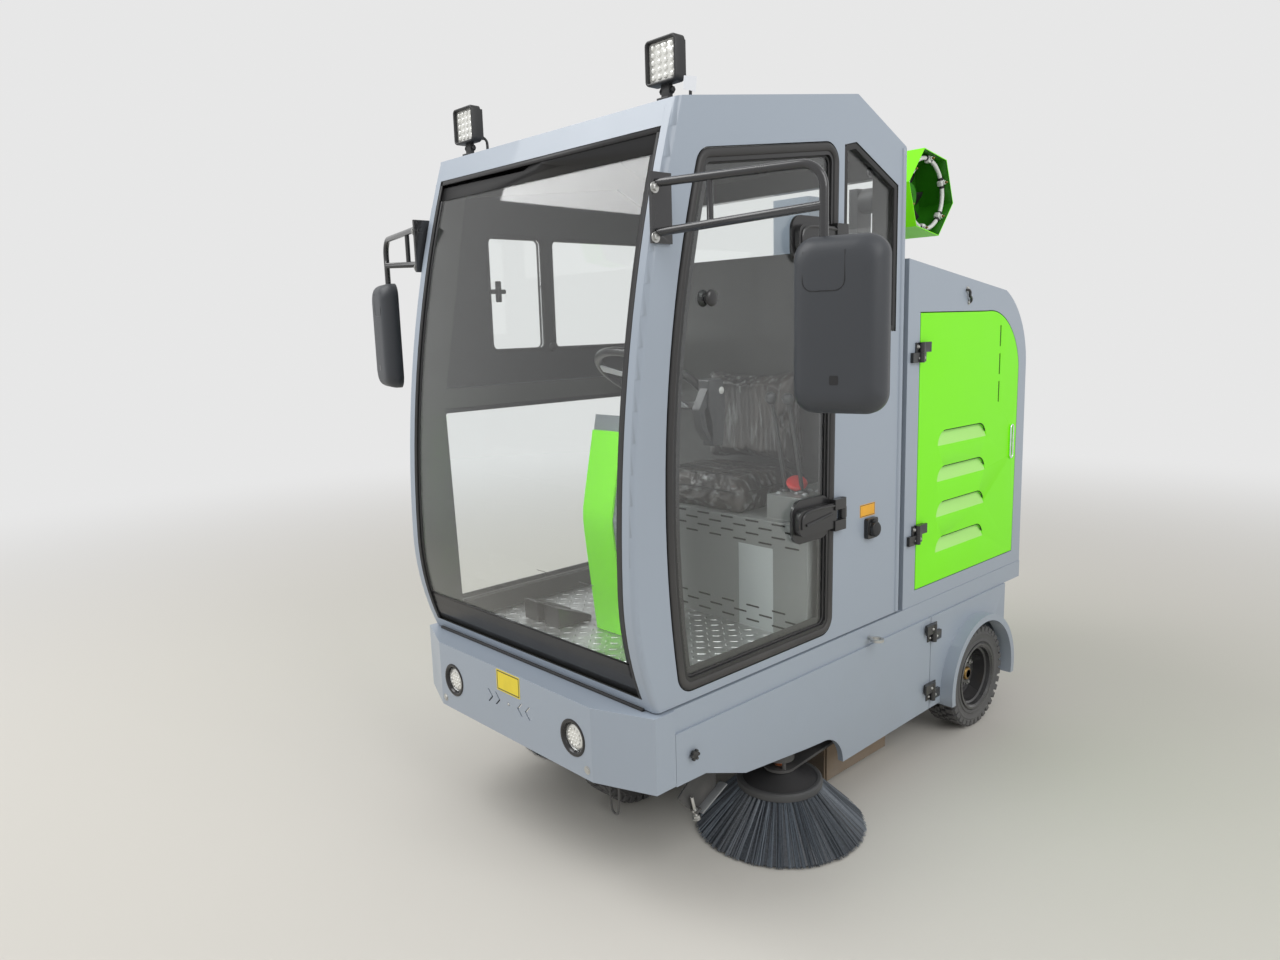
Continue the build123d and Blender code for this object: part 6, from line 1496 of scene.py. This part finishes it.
# In front of each side brush a folded plate hangs from the frame, with a pale strap along
# its foot and a long stop screw.
stop_x, stop_lean = 440, (0, -0.27, 1)
stop_points = [(236, -58), (236, -236), (192, -272), (224, -309), (257, -331), (330, -296),
               (330, -58)]
strap_grey = sprayed(
    "strap_grey", (0.30, 0.31, 0.32), 0.35, 0.04, 0.4, 0.1, {"Metallic": 0.5})
bm, bm_strap, bm_screw = bmesh.new(), bmesh.new(), bmesh.new()
for side in (-1, 1):
    hung = side_face(side * stop_x, side=side) @ Matrix.Diagonal((1, side, 1, 1))
    plate(bm, hung, stop_points, -5, 0, corner=5, edge=0.8)
    block(bm_strap, spun(moved(hung, 257, -331), radians(25)), (0, 0, -4), (104, 5, 22), 1.5)
    screw = facing(spot(side * (stop_x + 9), 247, -342), stop_lean, (1, 0, 0))
    rod(bm_screw, screw, 4.2, 66, sides=14, soft=0.6)
    bolt(bm_screw, screw, 15, 9)
    rod(bm_screw, moved(screw, z=22), 8.5, 6, sides=6, soft=0.6)
    tab = facing(spot(side * stop_x, 244, -318), stop_lean, (side, 0, 0))
    block(bm, tab, (-2, -10, -3), (20, 10, 3), 1)
finished("brush_stop_plates", bm, frame_black, "chassis")
finished("brush_stop_straps", bm_strap, strap_grey, "chassis")
finished("brush_stop_screws", bm_screw, zinc, "chassis")

# The mist cannon: a folded six-sided duct sprayed lime and darker green inside as painted
# shade, its fan and motor behind, and a white pipe ring with six brass nozzles in its mouth.
cannon_station, cannon_height, motor_x, duct_inner = 1506, 1291, 0.222, 0.15
ring_radius, ring_pipe, ring_x, nozzle_turn = 111, 7, 325, 22
fan_x, fan_blades, fan_pitch = 250, 7, radians(32)
blade_points = [(24, -12), (60, -20), (98, -24), (102, 10), (96, 24), (60, 18), (24, 10)]
lime_painted_shade = sprayed("lime_painted_shade", (0.030, 0.23, 0.008), 0.38, 0.05, 1.0, 0.05)
pipe_white = sprayed("pipe_white", (0.72, 0.73, 0.70), 0.30, 0.05, 1.0, 0.1)
duct = eased("cannon_duct", lime, "mist_cannon", 1.0, "mist_cannon")
middle = spot(0, cannon_station, cannon_height)


def front_of(face):
    """The furthest a face of the duct reaches towards the mouth."""
    return max(duct.data.vertices[index].co.x for index in face.vertices)


def in_duct(face):
    """Whether a face belongs to the inside of the duct or to what stands in it."""
    away = face.center - middle
    away.x = 0
    return away.length < duct_inner and face.center.x > 0.22 and (
        face.normal.dot(away) < -0.001 or face.normal.x > 0.5 and front_of(face) < 0.30)


# Inner faces of the duct take a dark green: painted shade, the lime darkened as if no light reached
# inside.
recolour(duct, lime_painted_shade, in_duct)
recolour(duct, cast_black, lambda face: front_of(face) < motor_x)
mouth = side_face(ring_x, cannon_station, cannon_height)
bm, bm_tee, bm_nut, bm_tip = (bmesh.new() for count in range(4))
turned(bm, mouth, hoop(ring_radius, ring_pipe), 72)
for step in range(6):
    seat = spun(mouth, radians(nozzle_turn + 60 * step))
    block(bm_tee, seat, (ring_radius - 13, -9, -9), (ring_radius + 9, 9, 9), 3)
    for end in (-1, 1):
        nut = spun(moved(seat, ring_radius, end * 9), -end * pi / 2, "X")
        rod(bm_nut, nut, 8.6, 9, sides=16, soft=1)
    rod(bm_tee, moved(seat, ring_radius, 0, 8), 6.5, 8, sides=12, soft=0.8)
    rod(bm_tip, moved(seat, ring_radius, 0, 14), 5, 9, 2.6, sides=14, soft=0.5)
finished("nozzle_pipe", bm, pipe_white, "mist_cannon", 60, ["nozzle_ring"])
finished("nozzle_tees", bm_tee, pipe_white, "mist_cannon")
finished("nozzle_nuts", bm_nut, cast_black, "mist_cannon")
finished("nozzle_tips", bm_tip, greasy_brass, "mist_cannon")
bm = bmesh.new()
hub = side_face(fan_x, cannon_station, cannon_height)
turned(bm, hub, [(0, 26), (12, 24), (24, 16), (30, 4), (30, -12), (0, -12)], 36)
for blade in range(fan_blades):
    seat = spun(spun(hub, 2 * pi * blade / fan_blades), fan_pitch, "X")
    plate(bm, seat, blade_points, -1, 1, corner=4, edge=0.5)
finished("cannon_fan", bm, cast_black, "mist_cannon", 40)
